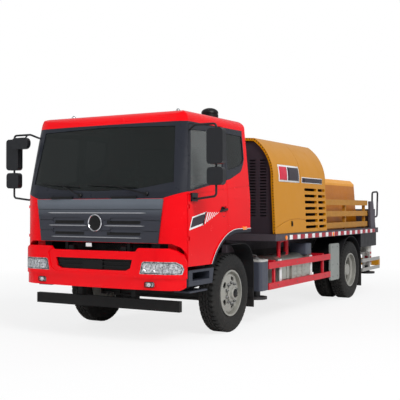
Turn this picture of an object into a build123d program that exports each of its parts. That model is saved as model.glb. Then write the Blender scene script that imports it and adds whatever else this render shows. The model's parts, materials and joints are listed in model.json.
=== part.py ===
from build123d import *

import os
from math import cos, radians, sin

# Truck-mounted concrete line pump: a two-axle tilt-cab lorry that carries a concrete pump with its
# hopper at the tail.  Millimetres.  +X is forward, +Y is the truck's left, +Z is up, the tyres
# stand on Z = 0, and the origin is on the ground halfway along the truck.

# ---------------------------------------------------------------- driving dimensions
WHEELBASE = 4500
FRONT_OVERHANG = 1500
REAR_OVERHANG = 2100
CAB_WIDTH = 2400
DECK_WIDTH = 2480
DECK_TOP = 1230

LENGTH = FRONT_OVERHANG + WHEELBASE + REAR_OVERHANG
FRONT_X = LENGTH / 2 - FRONT_OVERHANG  # front axle
REAR_X = FRONT_X - WHEELBASE  # rear axle
TAIL_X = -LENGTH / 2
CAB_Y = CAB_WIDTH / 2
DECK_Y = DECK_WIDTH / 2

# wheels and tyres
TYRE_R = 505
TYRE_WIDTH = 260
BEAD_R = 285
RIM_WIDTH = 220
RIM_FLANGE_R = 297
FRONT_WHEEL_Y = 1005
DUAL_OUTER_Y = 1080
DUAL_SPACING = 300
HAND_HOLES = 5
HAND_HOLE_LENGTH = 86
HAND_HOLE_WIDTH = 54
HAND_HOLE_PITCH_R = 187
AXLE_Z = TYRE_R
SEAT_GAP = 0.3  # between curved faces that rest on each other
RUNNING_GAP = 0.05  # radial clearance of a shaft in its bore

# ladder frame
RAIL_Y = 430  # outer face of each rail's web
RAIL_TOP = 950
RAIL_DEPTH = 240
RAIL_FLANGE = 75
RAIL_WALL = 8
SILL_TOP = 1110  # top of the sub-frame that lies on the rails
RAIL_FRONT_X = FRONT_X + 1390
RAIL_REAR_X = TAIL_X + 500

# cab
CAB_REAR_X = FRONT_X - 380
CAB_NOSE_X = FRONT_X + 1405  # furthest forward point of the cab's front skin
CAB_CORNER_X = FRONT_X + 1375
CAB_CORNER_Y = CAB_Y - 270
CAB_SIDE_X = FRONT_X + 1240  # where the rounded front corner meets the side
CAB_FLOOR = 1290
CAB_SILL = 925  # bottom edge of the door and of the step well
CAB_BELT = 1790  # the screen starts to lean back here
CAB_ROOF = 2800
CAB_ROOF_CROWN = 35  # how far the roof falls from its middle to its edges
CAB_ROOF_EDGE = CAB_ROOF - CAB_ROOF_CROWN
CAB_ROOF_FALL = 40  # how much lower the roof is over the screen
CAB_BROW = CAB_ROOF - 180  # top of the screen's lean, where the roof curves over
DOOR_TOP = CAB_ROOF - 170
DOOR_TOP_FALL = 38  # how much lower the door's frame is in front
CAB_ROOF_Y = CAB_Y - 85
CAB_WALL = 45
SCREEN_LEAN = 0.24  # how far the screen runs back for each millimetre up
ARCH_R = 790
ARCH_X = FRONT_X - 20
ARCH_Z = 500
CAB_PIVOT_X = FRONT_X + 1360
CAB_PIVOT_Z = 1120

# doors
DOOR_GAP = 6
DOOR_FRONT_X = CAB_SIDE_X + 5
DOOR_REAR_X = FRONT_X + 265
DOOR_PIN_R = 5
DOOR_EYE_R = 9
DOOR_HINGE_INSET = 9  # from the door's front and outer faces to the hinge pin
DOOR_HINGE_ZS = (1250, 1620)

# pump hood
HOOD_FRONT_X = FRONT_X - 1170
HOOD_LENGTH = 2080
HOOD_REAR_X = HOOD_FRONT_X - HOOD_LENGTH
HOOD_TOP = 2650
HOOD_ROOF_Y = 350  # edge of the fixed roof strip, where the wings are hinged
HOOD_SKIN = 40
HOOD_FOOT_Y = DECK_Y - 25
HOOD_SHOULDER_Z = 2000

# deck and what stands behind the hood
DECK_FRONT_X = HOOD_FRONT_X + 50
DECK_REAR_X = TAIL_X + 580
SKIRT_DEPTH = 95
TANK_FRONT_X = HOOD_REAR_X - 50
TANK_REAR_X = TAIL_X + 1040
TANK_TOP = 2130
TANK_Y = 900

# hopper and pumping cylinders
HOPPER_X = TAIL_X + 440
HOPPER_R = 300
HOPPER_WALL = 12
HOPPER_AXIS_Z = 920
HOPPER_RIM = 1440
HOPPER_RIM_LENGTH = 800
HOPPER_RIM_WIDTH = 1240
HOPPER_LOW_WIDTH = 680
OUTLET_BORE_R = 62.5

# jacks: (station along X, centre Y)
FRONT_JACK_X = FRONT_X - 850
REAR_JACK_X = REAR_X - 1350
JACK_Y = 1065
JACK_LEG_R = 55
JACK_TUBE_R = 85
JACK_FOOT_R = 150
JACK_STROKE_CLEAR = 340  # ground to the underside of a raised foot


# ---------------------------------------------------------------- helpers
def block(x, y, z, mode=Mode.ADD):
    """A box between low and high values along each axis."""
    with Locations(((x[0] + x[1]) / 2, (y[0] + y[1]) / 2, (z[0] + z[1]) / 2)):
        Box(abs(x[1] - x[0]), abs(y[1] - y[0]), abs(z[1] - z[0]), mode=mode)


def rod(start, end, radius, mode=Mode.ADD):
    """A round bar between two points."""
    run = Vector(*end) - Vector(*start)
    with BuildSketch(Plane(origin=start, z_dir=run)) as section:
        Circle(radius)
    extrude(section.sketch, amount=run.length, mode=mode)


def side_plate(points, y_low, y_high, mode=Mode.ADD):
    """An outline of (x, z) points, extruded across the truck."""
    with BuildSketch(Plane.XZ.offset(-y_high)) as section:
        Polygon(*points, align=None)
    extrude(section.sketch, amount=y_high - y_low, mode=mode)


def front_plate(points, x_low, x_high, mode=Mode.ADD):
    """An outline of (y, z) points, extruded along the truck."""
    with BuildSketch(Plane.YZ.offset(x_low)) as section:
        Polygon(*points, align=None)
    extrude(section.sketch, amount=x_high - x_low, mode=mode)


def outset_points(points, amount):
    """An outline's corners, moved towards its middle by amount (negative moves them out)."""
    mid_x = (min(p[0] for p in points) + max(p[0] for p in points)) / 2
    mid_z = (min(p[1] for p in points) + max(p[1] for p in points)) / 2
    return [
        (
            p[0] + (amount if p[0] < mid_x else -amount if p[0] > mid_x else 0),
            p[1] + (amount if p[1] < mid_z else -amount if p[1] > mid_z else 0),
        )
        for p in points
    ]


def turned(points, centre, mode=Mode.ADD):
    """A closed profile of (radius, y offset) points, turned about a wheel's axis through centre."""
    axis_x, axis_y, axis_z = centre
    with BuildSketch(Plane(origin=centre, x_dir=(1, 0, 0), z_dir=(0, 0, 1))) as section:
        Polygon(*points, align=None)
    revolve(section.sketch, axis=Axis((axis_x, axis_y, axis_z), (0, 1, 0)), mode=mode)


def arc_band(centre, radius, thickness, start, end, y_low, y_high):
    """A curved strip about an axis across the truck, between two angles from forward over the top."""
    with BuildSketch(Plane.XZ.offset(-y_high)) as section:
        with BuildLine():
            inner = CenterArc(centre, radius, start, end - start)
            outer = CenterArc(centre, radius + thickness, start, end - start)
            Line(inner @ 0, outer @ 0)
            Line(inner @ 1, outer @ 1)
        make_face()
    extrude(section.sketch, amount=y_high - y_low)


# ---------------------------------------------------------------- ladder frame
with BuildPart() as frame_rails:
    with BuildSketch(Plane.YZ.offset(RAIL_REAR_X)) as channel:
        with Locations((RAIL_Y - RAIL_FLANGE / 2, RAIL_TOP - RAIL_DEPTH / 2)):
            Rectangle(RAIL_FLANGE, RAIL_DEPTH)
        with Locations((RAIL_Y - RAIL_FLANGE / 2 - RAIL_WALL, RAIL_TOP - RAIL_DEPTH / 2)):
            Rectangle(RAIL_FLANGE, RAIL_DEPTH - 2 * RAIL_WALL, mode=Mode.SUBTRACT)
    extrude(amount=RAIL_FRONT_X - RAIL_REAR_X)
    mirror(about=Plane.XZ)

CROSSMEMBER_DEPTH = 160
CROSSMEMBER_WIDTH = 90
CROSSMEMBER_XS = (
    FRONT_X + 1080,
    FRONT_X - 1000,
    FRONT_X - 2200,
    REAR_X + 1150,
    REAR_X - 700,
    HOPPER_X + HOPPER_R + 100,
)
REAR_MOUNT_X = CAB_REAR_X + 90

with BuildPart() as frame_crossmembers:
    for station in CROSSMEMBER_XS:
        block(
            (station - CROSSMEMBER_WIDTH / 2, station + CROSSMEMBER_WIDTH / 2),
            (-RAIL_Y + RAIL_WALL, RAIL_Y - RAIL_WALL),
            (RAIL_TOP - 20 - CROSSMEMBER_DEPTH, RAIL_TOP - 20),
        )

# the arch that the back of the cab rests on, and the brackets of its tilt pivot
PIVOT_PIN_R = 20
with BuildPart() as cab_mounts:
    front_plate(
        [
            (-560, CAB_FLOOR - 90),
            (-RAIL_Y, RAIL_TOP),
            (-RAIL_Y + RAIL_FLANGE, RAIL_TOP),
            (-RAIL_Y + RAIL_FLANGE, CAB_FLOOR - 150),
            (RAIL_Y - RAIL_FLANGE, CAB_FLOOR - 150),
            (RAIL_Y - RAIL_FLANGE, RAIL_TOP),
            (RAIL_Y, RAIL_TOP),
            (560, CAB_FLOOR - 90),
            (560, CAB_FLOOR - SEAT_GAP),
            (-560, CAB_FLOOR - SEAT_GAP),
        ],
        REAR_MOUNT_X - 30,
        REAR_MOUNT_X + 30,
    )
    for side in (-1, 1):
        web = (RAIL_Y - RAIL_FLANGE, RAIL_Y)
        side_plate(
            [
                (CAB_PIVOT_X - 120, RAIL_TOP),
                (CAB_PIVOT_X + 30, RAIL_TOP),
                (CAB_PIVOT_X + 35, CAB_PIVOT_Z + 20),
                (CAB_PIVOT_X, CAB_PIVOT_Z + 38),
                (CAB_PIVOT_X - 35, CAB_PIVOT_Z + 20),
            ],
            min(side * web[0], side * web[1]),
            max(side * web[0], side * web[1]),
        )
        rod(
            (CAB_PIVOT_X, side * RAIL_Y, CAB_PIVOT_Z),
            (CAB_PIVOT_X, side * (RAIL_Y + 70), CAB_PIVOT_Z),
            PIVOT_PIN_R,
        )

# ---------------------------------------------------------------- springs and axles
SPRING_HALF = 680
SPRING_WIDTH = 75
LEAF = 13
FRONT_SPRING_Y = RAIL_Y - 38
REAR_SPRING_Y = RAIL_Y + 52
FRONT_PAD_Z = AXLE_Z - 15  # top of the front beam
REAR_PAD_Z = AXLE_Z + 92  # top of the rear housing


def spring_pack(axle_x, centre_y, pad_z, leaves, rise, hanger_top, hanger_low_y, hanger_high_y):
    """A pack of leaves that bows down to its axle pad, with the hangers that hold its ends."""
    top = pad_z + 20 + LEAF * leaves
    with BuildSketch(Plane.XZ.offset(-(centre_y + SPRING_WIDTH / 2))) as section:
        for leaf in range(leaves):
            half = SPRING_HALF * (1 - 0.13 * leaf)
            lift = rise * (half / SPRING_HALF) ** 2
            low = top - LEAF * (leaf + 1)
            with BuildLine():
                upper = ThreePointArc(
                    (axle_x - half, low + LEAF + lift),
                    (axle_x, low + LEAF),
                    (axle_x + half, low + LEAF + lift),
                )
                lower = ThreePointArc((axle_x - half, low + lift), (axle_x, low), (axle_x + half, low + lift))
                Line(upper @ 0, lower @ 0)
                Line(upper @ 1, lower @ 1)
            make_face()
        for end in (-1, 1):
            with Locations((axle_x + end * SPRING_HALF, top + rise - LEAF / 2)):
                Circle(28)
    extrude(section.sketch, amount=SPRING_WIDTH)
    block(
        (axle_x - 75, axle_x + 75),
        (centre_y - SPRING_WIDTH / 2 - 12, centre_y + SPRING_WIDTH / 2 + 12),
        (pad_z + SEAT_GAP, top + 15),
    )
    for end in (-1, 1):
        eye_x = axle_x + end * SPRING_HALF
        block((eye_x - 35, eye_x + 35), (hanger_low_y, hanger_high_y), (top + rise - 20, hanger_top))


with BuildPart() as leaf_springs:
    spring_pack(
        FRONT_X, FRONT_SPRING_Y, FRONT_PAD_Z, 3, 75, RAIL_TOP - RAIL_DEPTH,
        FRONT_SPRING_Y - SPRING_WIDTH / 2, RAIL_Y,
    )
    spring_pack(
        REAR_X, REAR_SPRING_Y, REAR_PAD_Z, 5, 55, RAIL_TOP - 60, RAIL_Y, REAR_SPRING_Y + SPRING_WIDTH / 2
    )
    mirror(about=Plane.XZ)

KINGPIN_Y = 870
KINGPIN_R = 20
BOSS_R = 45
BOSS_HALF = 78
BEAM_TOP = FRONT_PAD_Z
BEAM_DEPTH = 100

with BuildPart() as front_axle:
    front_plate(
        [
            (-KINGPIN_Y, AXLE_Z - BOSS_HALF),
            (-KINGPIN_Y + 110, AXLE_Z - BOSS_HALF),
            (-KINGPIN_Y + 230, BEAM_TOP - BEAM_DEPTH),
            (KINGPIN_Y - 230, BEAM_TOP - BEAM_DEPTH),
            (KINGPIN_Y - 110, AXLE_Z - BOSS_HALF),
            (KINGPIN_Y, AXLE_Z - BOSS_HALF),
            (KINGPIN_Y, AXLE_Z + BOSS_HALF),
            (KINGPIN_Y - 60, AXLE_Z + BOSS_HALF),
            (KINGPIN_Y - 210, BEAM_TOP),
            (-KINGPIN_Y + 210, BEAM_TOP),
            (-KINGPIN_Y + 60, AXLE_Z + BOSS_HALF),
            (-KINGPIN_Y, AXLE_Z + BOSS_HALF),
        ],
        FRONT_X - 42,
        FRONT_X + 42,
    )
    for face in (-1, 1):
        block(
            (FRONT_X + face * 14, FRONT_X + face * 50),
            (-KINGPIN_Y + 250, KINGPIN_Y - 250),
            (BEAM_TOP - BEAM_DEPTH + 22, BEAM_TOP - 22),
            mode=Mode.SUBTRACT,
        )
    for side in (-1, 1):
        with Locations((FRONT_X, side * KINGPIN_Y, AXLE_Z)):
            Cylinder(BOSS_R, 2 * BOSS_HALF)
            Cylinder(KINGPIN_R + RUNNING_GAP, 2 * BOSS_HALF, mode=Mode.SUBTRACT)

DIFF_R = 200
HOUSING_R = 75
REAR_SPINDLE_R = 45
REAR_SPINDLE_END = DUAL_OUTER_Y + 10
REAR_HUB_IN = 700
NOSE_X = REAR_X + 290  # front of the final drive, where the propeller shaft bolts on
NOSE_Z = AXLE_Z + 25

with BuildPart() as rear_axle:
    with BuildSketch(Plane.XY.offset(AXLE_Z)) as housing:
        Polygon(
            (REAR_X, -REAR_SPINDLE_END),
            (REAR_X + REAR_SPINDLE_R, -REAR_SPINDLE_END),
            (REAR_X + REAR_SPINDLE_R, -REAR_HUB_IN + 10),
            (REAR_X + HOUSING_R, -REAR_HUB_IN + 10),
            (REAR_X + HOUSING_R, -300),
            (REAR_X + DIFF_R, -110),
            (REAR_X + DIFF_R, 110),
            (REAR_X + HOUSING_R, 300),
            (REAR_X + HOUSING_R, REAR_HUB_IN - 10),
            (REAR_X + REAR_SPINDLE_R, REAR_HUB_IN - 10),
            (REAR_X + REAR_SPINDLE_R, REAR_SPINDLE_END),
            (REAR_X, REAR_SPINDLE_END),
            align=None,
        )
    revolve(housing.sketch, axis=Axis((REAR_X, 0, AXLE_Z), (0, 1, 0)))
    rod((REAR_X + 150, 0, NOSE_Z), (NOSE_X, 0, NOSE_Z), 85)
    for side in (-1, 1):
        block(
            (REAR_X - 70, REAR_X + 70),
            (side * REAR_SPRING_Y - 45, side * REAR_SPRING_Y + 45),
            (AXLE_Z, REAR_PAD_Z),
        )

ENGINE_X = (FRONT_X - 150, FRONT_X + 800)
GEARBOX_REAR_X = FRONT_X - 760
ENGINE_Y = 330
ENGINE_FOOT = 60
ENGINE_FOOT_HEIGHT = 25
SHAFT_R = 45
SHAFT_YOKE_R = 62
SHAFT_YOKE = 70
SHAFT_FRONT_Z = 690

with BuildPart() as drive_train:
    block(ENGINE_X, (-ENGINE_Y, ENGINE_Y), (600, 1180))
    block((GEARBOX_REAR_X, ENGINE_X[0]), (-200, 200), (570, 900))
    rod((GEARBOX_REAR_X, 0, SHAFT_FRONT_Z), (NOSE_X + SHAFT_YOKE - 5, 0, NOSE_Z), SHAFT_R)
    rod((NOSE_X + SEAT_GAP, 0, NOSE_Z), (NOSE_X + SHAFT_YOKE, 0, NOSE_Z), SHAFT_YOKE_R)
    for side in (-1, 1):
        for foot_x in (ENGINE_X[0] + 150, ENGINE_X[1] - 150):
            block(
                (foot_x - ENGINE_FOOT, foot_x + ENGINE_FOOT),
                (side * (ENGINE_Y - 5), side * (RAIL_Y - 10)),
                (RAIL_TOP, RAIL_TOP + ENGINE_FOOT_HEIGHT),
            )


# ---------------------------------------------------------------- wheels
def tyre_profile(half, sidewall):
    """(radius, offset) points of one tyre's section, from bead to bead."""
    return [
        (BEAD_R + SEAT_GAP, -half),
        (RIM_FLANGE_R + 13, -half - 2),
        (RIM_FLANGE_R + 70, -sidewall),
        (TYRE_R - 75, -sidewall + 4),
        (TYRE_R - 18, -sidewall + 20),
        (TYRE_R, -sidewall + 38),
        (TYRE_R, sidewall - 38),
        (TYRE_R - 18, sidewall - 20),
        (TYRE_R - 75, sidewall - 4),
        (RIM_FLANGE_R + 70, sidewall),
        (RIM_FLANGE_R + 13, half + 2),
        (BEAD_R + SEAT_GAP, half),
        (BEAD_R + SEAT_GAP, half - 45),
        (TYRE_R - 26, half - 45),
        (TYRE_R - 26, -half + 45),
        (BEAD_R + SEAT_GAP, -half + 45),
    ]


def tyre(axle_x, centre_y):
    turned(tyre_profile(RIM_WIDTH / 2 - 14, TYRE_WIDTH / 2), (axle_x, centre_y, AXLE_Z))


def barrel(axle_x, centre_y):
    """The rolled ring of a rim: bead seats, flanges and the well between them."""
    half = RIM_WIDTH / 2
    wall = 9
    profile = [
        (BEAD_R, -half + 12),
        (RIM_FLANGE_R, -half + 12),
        (RIM_FLANGE_R, -half),
        (BEAD_R - wall, -half),
        (BEAD_R - wall, -half + 60),
        (BEAD_R - 30 - wall, -half + 85),
        (BEAD_R - 30 - wall, half - 85),
        (BEAD_R - wall, half - 60),
        (BEAD_R - wall, half),
        (RIM_FLANGE_R, half),
        (RIM_FLANGE_R, half - 12),
        (BEAD_R, half - 12),
        (BEAD_R, half - 60),
        (BEAD_R - 30, half - 85),
        (BEAD_R - 30, -half + 85),
        (BEAD_R, -half + 60),
    ]
    turned(profile, (axle_x, centre_y, AXLE_Z))


def hand_holes(axle_x, y_low, y_high):
    """A ring of oval openings through a wheel's disc."""
    with BuildSketch(Plane(origin=(axle_x, y_high, AXLE_Z), x_dir=(1, 0, 0), z_dir=(0, -1, 0))) as ring:
        with PolarLocations(HAND_HOLE_PITCH_R, HAND_HOLES, start_angle=36):
            SlotOverall(HAND_HOLE_LENGTH, HAND_HOLE_WIDTH, rotation=90)
    extrude(ring.sketch, amount=y_high - y_low, mode=Mode.SUBTRACT)


FRONT_SPINDLE_R = 35
FRONT_HUB_IN = 950
DISC = 15
FRONT_DISC_Y = FRONT_WHEEL_Y + 100  # outer face of the front wheel's crowned disc
FRONT_HUB_OUT = FRONT_WHEEL_Y + 165
WHEEL_MEET_Y = DUAL_OUTER_Y - DUAL_SPACING / 2  # where the twin wheels' discs bolt together
REAR_HUB_OUT = DUAL_OUTER_Y + 60
DISC_EDGE_R = BEAD_R - 5

with BuildPart() as tyre_fl:
    tyre(FRONT_X, FRONT_WHEEL_Y)

with BuildPart() as tyre_rl:
    tyre(REAR_X, DUAL_OUTER_Y)
    tyre(REAR_X, DUAL_OUTER_Y - DUAL_SPACING)

with BuildPart() as rim_fl:
    barrel(FRONT_X, FRONT_WHEEL_Y)
    turned(
        [
            (0, FRONT_DISC_Y - DISC),
            (150, FRONT_DISC_Y - DISC),
            (232, FRONT_DISC_Y - DISC - 22),
            (DISC_EDGE_R, FRONT_DISC_Y - DISC - 42),
            (DISC_EDGE_R, FRONT_DISC_Y - 42),
            (240, FRONT_DISC_Y - 20),
            (156, FRONT_DISC_Y),
            (0, FRONT_DISC_Y),
        ],
        (FRONT_X, 0, AXLE_Z),
    )
    hand_holes(FRONT_X, FRONT_DISC_Y - 100, FRONT_DISC_Y + 20)
    turned(
        [
            (0, FRONT_HUB_IN),
            (95, FRONT_HUB_IN),
            (200, FRONT_HUB_IN + 20),
            (200, FRONT_HUB_IN + 40),
            (110, FRONT_HUB_IN + 60),
            (110, FRONT_DISC_Y + 16),
            (80, FRONT_DISC_Y + 26),
            (72, FRONT_HUB_OUT - 10),
            (58, FRONT_HUB_OUT),
            (0, FRONT_HUB_OUT),
        ],
        (FRONT_X, 0, AXLE_Z),
    )
    rod(
        (FRONT_X, FRONT_HUB_IN - 1, AXLE_Z),
        (FRONT_X, FRONT_HUB_OUT - 30, AXLE_Z),
        FRONT_SPINDLE_R + RUNNING_GAP,
        mode=Mode.SUBTRACT,
    )

with BuildPart() as rim_rl:
    barrel(REAR_X, DUAL_OUTER_Y)
    barrel(REAR_X, DUAL_OUTER_Y - DUAL_SPACING)
    for face in (-1, 1):
        turned(
            [
                (0, WHEEL_MEET_Y),
                (215, WHEEL_MEET_Y),
                (DISC_EDGE_R, WHEEL_MEET_Y + face * 62),
                (DISC_EDGE_R, WHEEL_MEET_Y + face * (62 + DISC)),
                (210, WHEEL_MEET_Y + face * DISC),
                (0, WHEEL_MEET_Y + face * DISC),
            ],
            (REAR_X, 0, AXLE_Z),
        )
    hand_holes(REAR_X, WHEEL_MEET_Y - 60, WHEEL_MEET_Y + 60)
    turned(
        [
            (0, REAR_HUB_IN),
            (205, REAR_HUB_IN),
            (205, WHEEL_MEET_Y - 60),
            (140, WHEEL_MEET_Y - 40),
            (140, WHEEL_MEET_Y + 30),
            (118, WHEEL_MEET_Y + 50),
            (105, REAR_HUB_OUT - 12),
            (92, REAR_HUB_OUT),
            (0, REAR_HUB_OUT),
        ],
        (REAR_X, 0, AXLE_Z),
    )
    rod(
        (REAR_X, REAR_HUB_IN - 1, AXLE_Z),
        (REAR_X, REAR_SPINDLE_END + 5, AXLE_Z),
        REAR_SPINDLE_R + RUNNING_GAP,
        mode=Mode.SUBTRACT,
    )

with BuildPart() as tyre_fr:
    mirror(tyre_fl.part, about=Plane.XZ)
with BuildPart() as tyre_rr:
    mirror(tyre_rl.part, about=Plane.XZ)
with BuildPart() as rim_fr:
    mirror(rim_fl.part, about=Plane.XZ)
with BuildPart() as rim_rr:
    mirror(rim_rl.part, about=Plane.XZ)

# ---------------------------------------------------------------- steering
EAR_GAP = 0.5
EAR_DEPTH = 34
TRACK_ARM = 200  # kingpin to tie-rod pin, straight back, so that the rod and the arms form a parallelogram
TRACK_PIN_R = 10
TRACK_ARM_Z = AXLE_Z - BOSS_HALF - EAR_GAP - EAR_DEPTH
TRACK_PIN_X = FRONT_X - TRACK_ARM
TIE_ROD_R = 16

with BuildPart() as knuckle_left:
    with Locations((FRONT_X, KINGPIN_Y, AXLE_Z)):
        Cylinder(KINGPIN_R, 2 * (BOSS_HALF + EAR_GAP + EAR_DEPTH))
    for side in (-1, 1):
        ear_z = AXLE_Z + side * (BOSS_HALF + EAR_GAP + EAR_DEPTH / 2)
        with Locations((FRONT_X, KINGPIN_Y, ear_z)):
            Cylinder(BOSS_R, EAR_DEPTH)
        block(
            (FRONT_X - BOSS_R, FRONT_X + BOSS_R),
            (KINGPIN_Y, FRONT_HUB_IN - 4),
            (ear_z - EAR_DEPTH / 2, ear_z + EAR_DEPTH / 2),
        )
    block(
        (FRONT_X - BOSS_R, FRONT_X + BOSS_R),
        (KINGPIN_Y + BOSS_R + 4, FRONT_HUB_IN - 4),
        (AXLE_Z - BOSS_HALF - EAR_GAP - EAR_DEPTH, AXLE_Z + BOSS_HALF + EAR_GAP + EAR_DEPTH),
    )
    rod(
        (FRONT_X, FRONT_HUB_IN - 6, AXLE_Z),
        (FRONT_X, FRONT_HUB_OUT - 34, AXLE_Z),
        FRONT_SPINDLE_R,
    )
    arm = [
        (FRONT_X + 20, KINGPIN_Y + 22),
        (FRONT_X + 20, KINGPIN_Y - 22),
        (TRACK_PIN_X, KINGPIN_Y - 22),
        (TRACK_PIN_X - 20, KINGPIN_Y),
        (TRACK_PIN_X, KINGPIN_Y + 22),
    ]
    with BuildSketch(Plane.XY.offset(TRACK_ARM_Z)) as arm_outline:
        Polygon(*arm, align=None)
    extrude(arm_outline.sketch, amount=24)
    rod((TRACK_PIN_X, KINGPIN_Y, TRACK_ARM_Z), (TRACK_PIN_X, KINGPIN_Y, TRACK_ARM_Z - 44), TRACK_PIN_R)

with BuildPart() as knuckle_right:
    mirror(knuckle_left.part, about=Plane.XZ)

with BuildPart() as tie_rod:
    rod_z = TRACK_ARM_Z - 22
    rod((TRACK_PIN_X, -KINGPIN_Y, rod_z), (TRACK_PIN_X, KINGPIN_Y, rod_z), TIE_ROD_R)
    for side in (-1, 1):
        with Locations((TRACK_PIN_X, side * KINGPIN_Y, rod_z)):
            Cylinder(24, 40)
            Cylinder(TRACK_PIN_R + RUNNING_GAP, 60, mode=Mode.SUBTRACT)

# ---------------------------------------------------------------- bumper and lamps
BUMPER_X = LENGTH / 2
BUMPER_WALL = 38
BUMPER_DEPTH = 236  # from its face back to the ends of its corners
BUMPER_LOW = 655
BUMPER_TOP = 1095
BUMPER_HORN = 1138  # top edge outboard, over the lamps
BUMPER_CORNER_Y = CAB_Y - 340
BUMPER_CREASE = 788  # the face steps back below this height
BUMPER_STEP = 14
CAB_LOW = 1190  # bottom edge of the cab over the bumper
LAMP_OUTLINE = [(672, 838), (700, 965), (725, 985), (1110, 985), (1165, 950), (1180, 900), (1165, 838)]
LAMP_Z = (830, 990)  # heights that hold the whole lamp
FOG_OUTLINE = [(742, 692), (742, 735), (752, 748), (850, 748), (862, 735), (862, 700), (850, 690)]
GRILLE_SLOT = [(-570, 1000), (-545, 900), (-480, 868), (480, 868), (545, 900), (570, 1000)]
CENTRE_RECESS = [
    (-560, 830),
    (560, 830),
    (650, 880),
    (690, 1060),
    (620, 1120),
    (-620, 1120),
    (-690, 1060),
    (-650, 880),
]
RECESS_DEPTH = 10


def mirrored(points):
    """The same outline on the truck's other side."""
    return [(-y, z) for y, z in points]


def bumper_band(outer_inset, inner_inset, z_low, z_high):
    """The bow of the bumper in plan, between two depths below its face."""

    def bow(inset):
        with BuildSketch(Plane.XY.offset(z_low)) as plan:
            with BuildLine():
                middle = ThreePointArc(
                    (BUMPER_X - 45 - inset, -BUMPER_CORNER_Y),
                    (BUMPER_X - inset, 0),
                    (BUMPER_X - 45 - inset, BUMPER_CORNER_Y),
                )
                left = ThreePointArc(
                    middle @ 1,
                    (BUMPER_X - 105 - inset * 0.8, CAB_Y - 115 - inset * 0.5),
                    (BUMPER_X - BUMPER_DEPTH, CAB_Y - inset),
                )
                right = ThreePointArc(
                    middle @ 0,
                    (BUMPER_X - 105 - inset * 0.8, -CAB_Y + 115 + inset * 0.5),
                    (BUMPER_X - BUMPER_DEPTH, -CAB_Y + inset),
                )
                Line(left @ 1, right @ 1)
            make_face()
        return plan.sketch

    extrude(bow(outer_inset), amount=z_high - z_low)
    extrude(bow(inner_inset), amount=z_high - z_low, mode=Mode.SUBTRACT)


with BuildPart() as recess_skin:
    bumper_band(-1, RECESS_DEPTH, BUMPER_CREASE + 20, BUMPER_HORN + 1)
    front_plate(CENTRE_RECESS, BUMPER_X - 200, BUMPER_X + 20, mode=Mode.INTERSECT)

with BuildPart() as front_bumper:
    bumper_band(0, BUMPER_WALL, BUMPER_CREASE, BUMPER_HORN)
    with BuildPart(mode=Mode.PRIVATE) as lower_band:
        bumper_band(BUMPER_STEP, BUMPER_WALL, BUMPER_LOW, BUMPER_CREASE)
    add(lower_band.part)
    front_plate(
        [
            (-CAB_Y - 20, BUMPER_LOW + 60),
            (-CAB_Y + 60, BUMPER_LOW),
            (CAB_Y - 60, BUMPER_LOW),
            (CAB_Y + 20, BUMPER_LOW + 60),
            (CAB_Y + 20, 930),
            (CAB_Y - 10, 1000),
            (CAB_Y - 35, 1060),
            (CAB_Y - 90, 1112),
            (CAB_Y - 160, BUMPER_HORN),
            (655, BUMPER_HORN),
            (612, BUMPER_TOP),
            (-612, BUMPER_TOP),
            (-655, BUMPER_HORN),
            (-CAB_Y + 160, BUMPER_HORN),
            (-CAB_Y + 90, 1112),
            (-CAB_Y + 35, 1060),
            (-CAB_Y + 10, 1000),
            (-CAB_Y - 20, 930),
        ],
        BUMPER_X - 300,
        BUMPER_X + 20,
        mode=Mode.INTERSECT,
    )
    add(recess_skin.part, mode=Mode.SUBTRACT)
    front_plate(GRILLE_SLOT, BUMPER_X - 120, BUMPER_X + 20, mode=Mode.SUBTRACT)
    for outline in (LAMP_OUTLINE, FOG_OUTLINE):
        for pocket in (outline, mirrored(outline)):
            front_plate(pocket, BUMPER_X - BUMPER_DEPTH - 20, BUMPER_X + 20, mode=Mode.SUBTRACT)
    for side in (-1, 1):
        block(
            (RAIL_FRONT_X, BUMPER_X - BUMPER_WALL),
            (side * (RAIL_Y - 70), side * RAIL_Y),
            (RAIL_TOP - RAIL_DEPTH + 5, RAIL_TOP - 90),
        )

with BuildPart() as lamp_outlines:
    for outline in (LAMP_OUTLINE, FOG_OUTLINE):
        seated = outset_points(outline, SEAT_GAP)
        for lens in (seated, mirrored(seated)):
            front_plate(lens, BUMPER_X - BUMPER_DEPTH - 20, BUMPER_X)

with BuildPart() as head_lamps:
    bumper_band(4, BUMPER_WALL + 20, LAMP_Z[0], LAMP_Z[1])
    with BuildPart(mode=Mode.PRIVATE) as fog_band:
        bumper_band(BUMPER_STEP + 4, BUMPER_WALL + 20, BUMPER_LOW + 20, BUMPER_CREASE)
    add(fog_band.part)
    add(lamp_outlines.part, mode=Mode.INTERSECT)

# ribs and the plain centre that close the bumper's slot from behind
INSERT_Y = 620
INSERT_Z = (862, 1020)
INSERT_RIB_ZS = (905, 955)
INSERT_CENTRE_Y = 150
with BuildPart() as insert_ribs:
    bumper_band(RECESS_DEPTH + 10, BUMPER_WALL + SEAT_GAP + 1, GRILLE_SLOT[2][1] + 10, GRILLE_SLOT[0][1] - 15)
    with BuildPart(mode=Mode.PRIVATE) as insert_faces:
        block((BUMPER_X - 120, BUMPER_X), (-INSERT_CENTRE_Y, INSERT_CENTRE_Y), (INSERT_Z[0], INSERT_Z[1]))
        for rib_z in INSERT_RIB_ZS:
            block((BUMPER_X - 120, BUMPER_X), (-530, 530), (rib_z, rib_z + 14))
    add(insert_faces.part, mode=Mode.INTERSECT)

with BuildPart() as bumper_insert:
    bumper_band(BUMPER_WALL + SEAT_GAP, BUMPER_WALL + 12, INSERT_Z[0], INSERT_Z[1])
    block((BUMPER_X - 120, BUMPER_X), (-INSERT_Y, INSERT_Y), INSERT_Z, mode=Mode.INTERSECT)
    add(insert_ribs.part)

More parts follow.
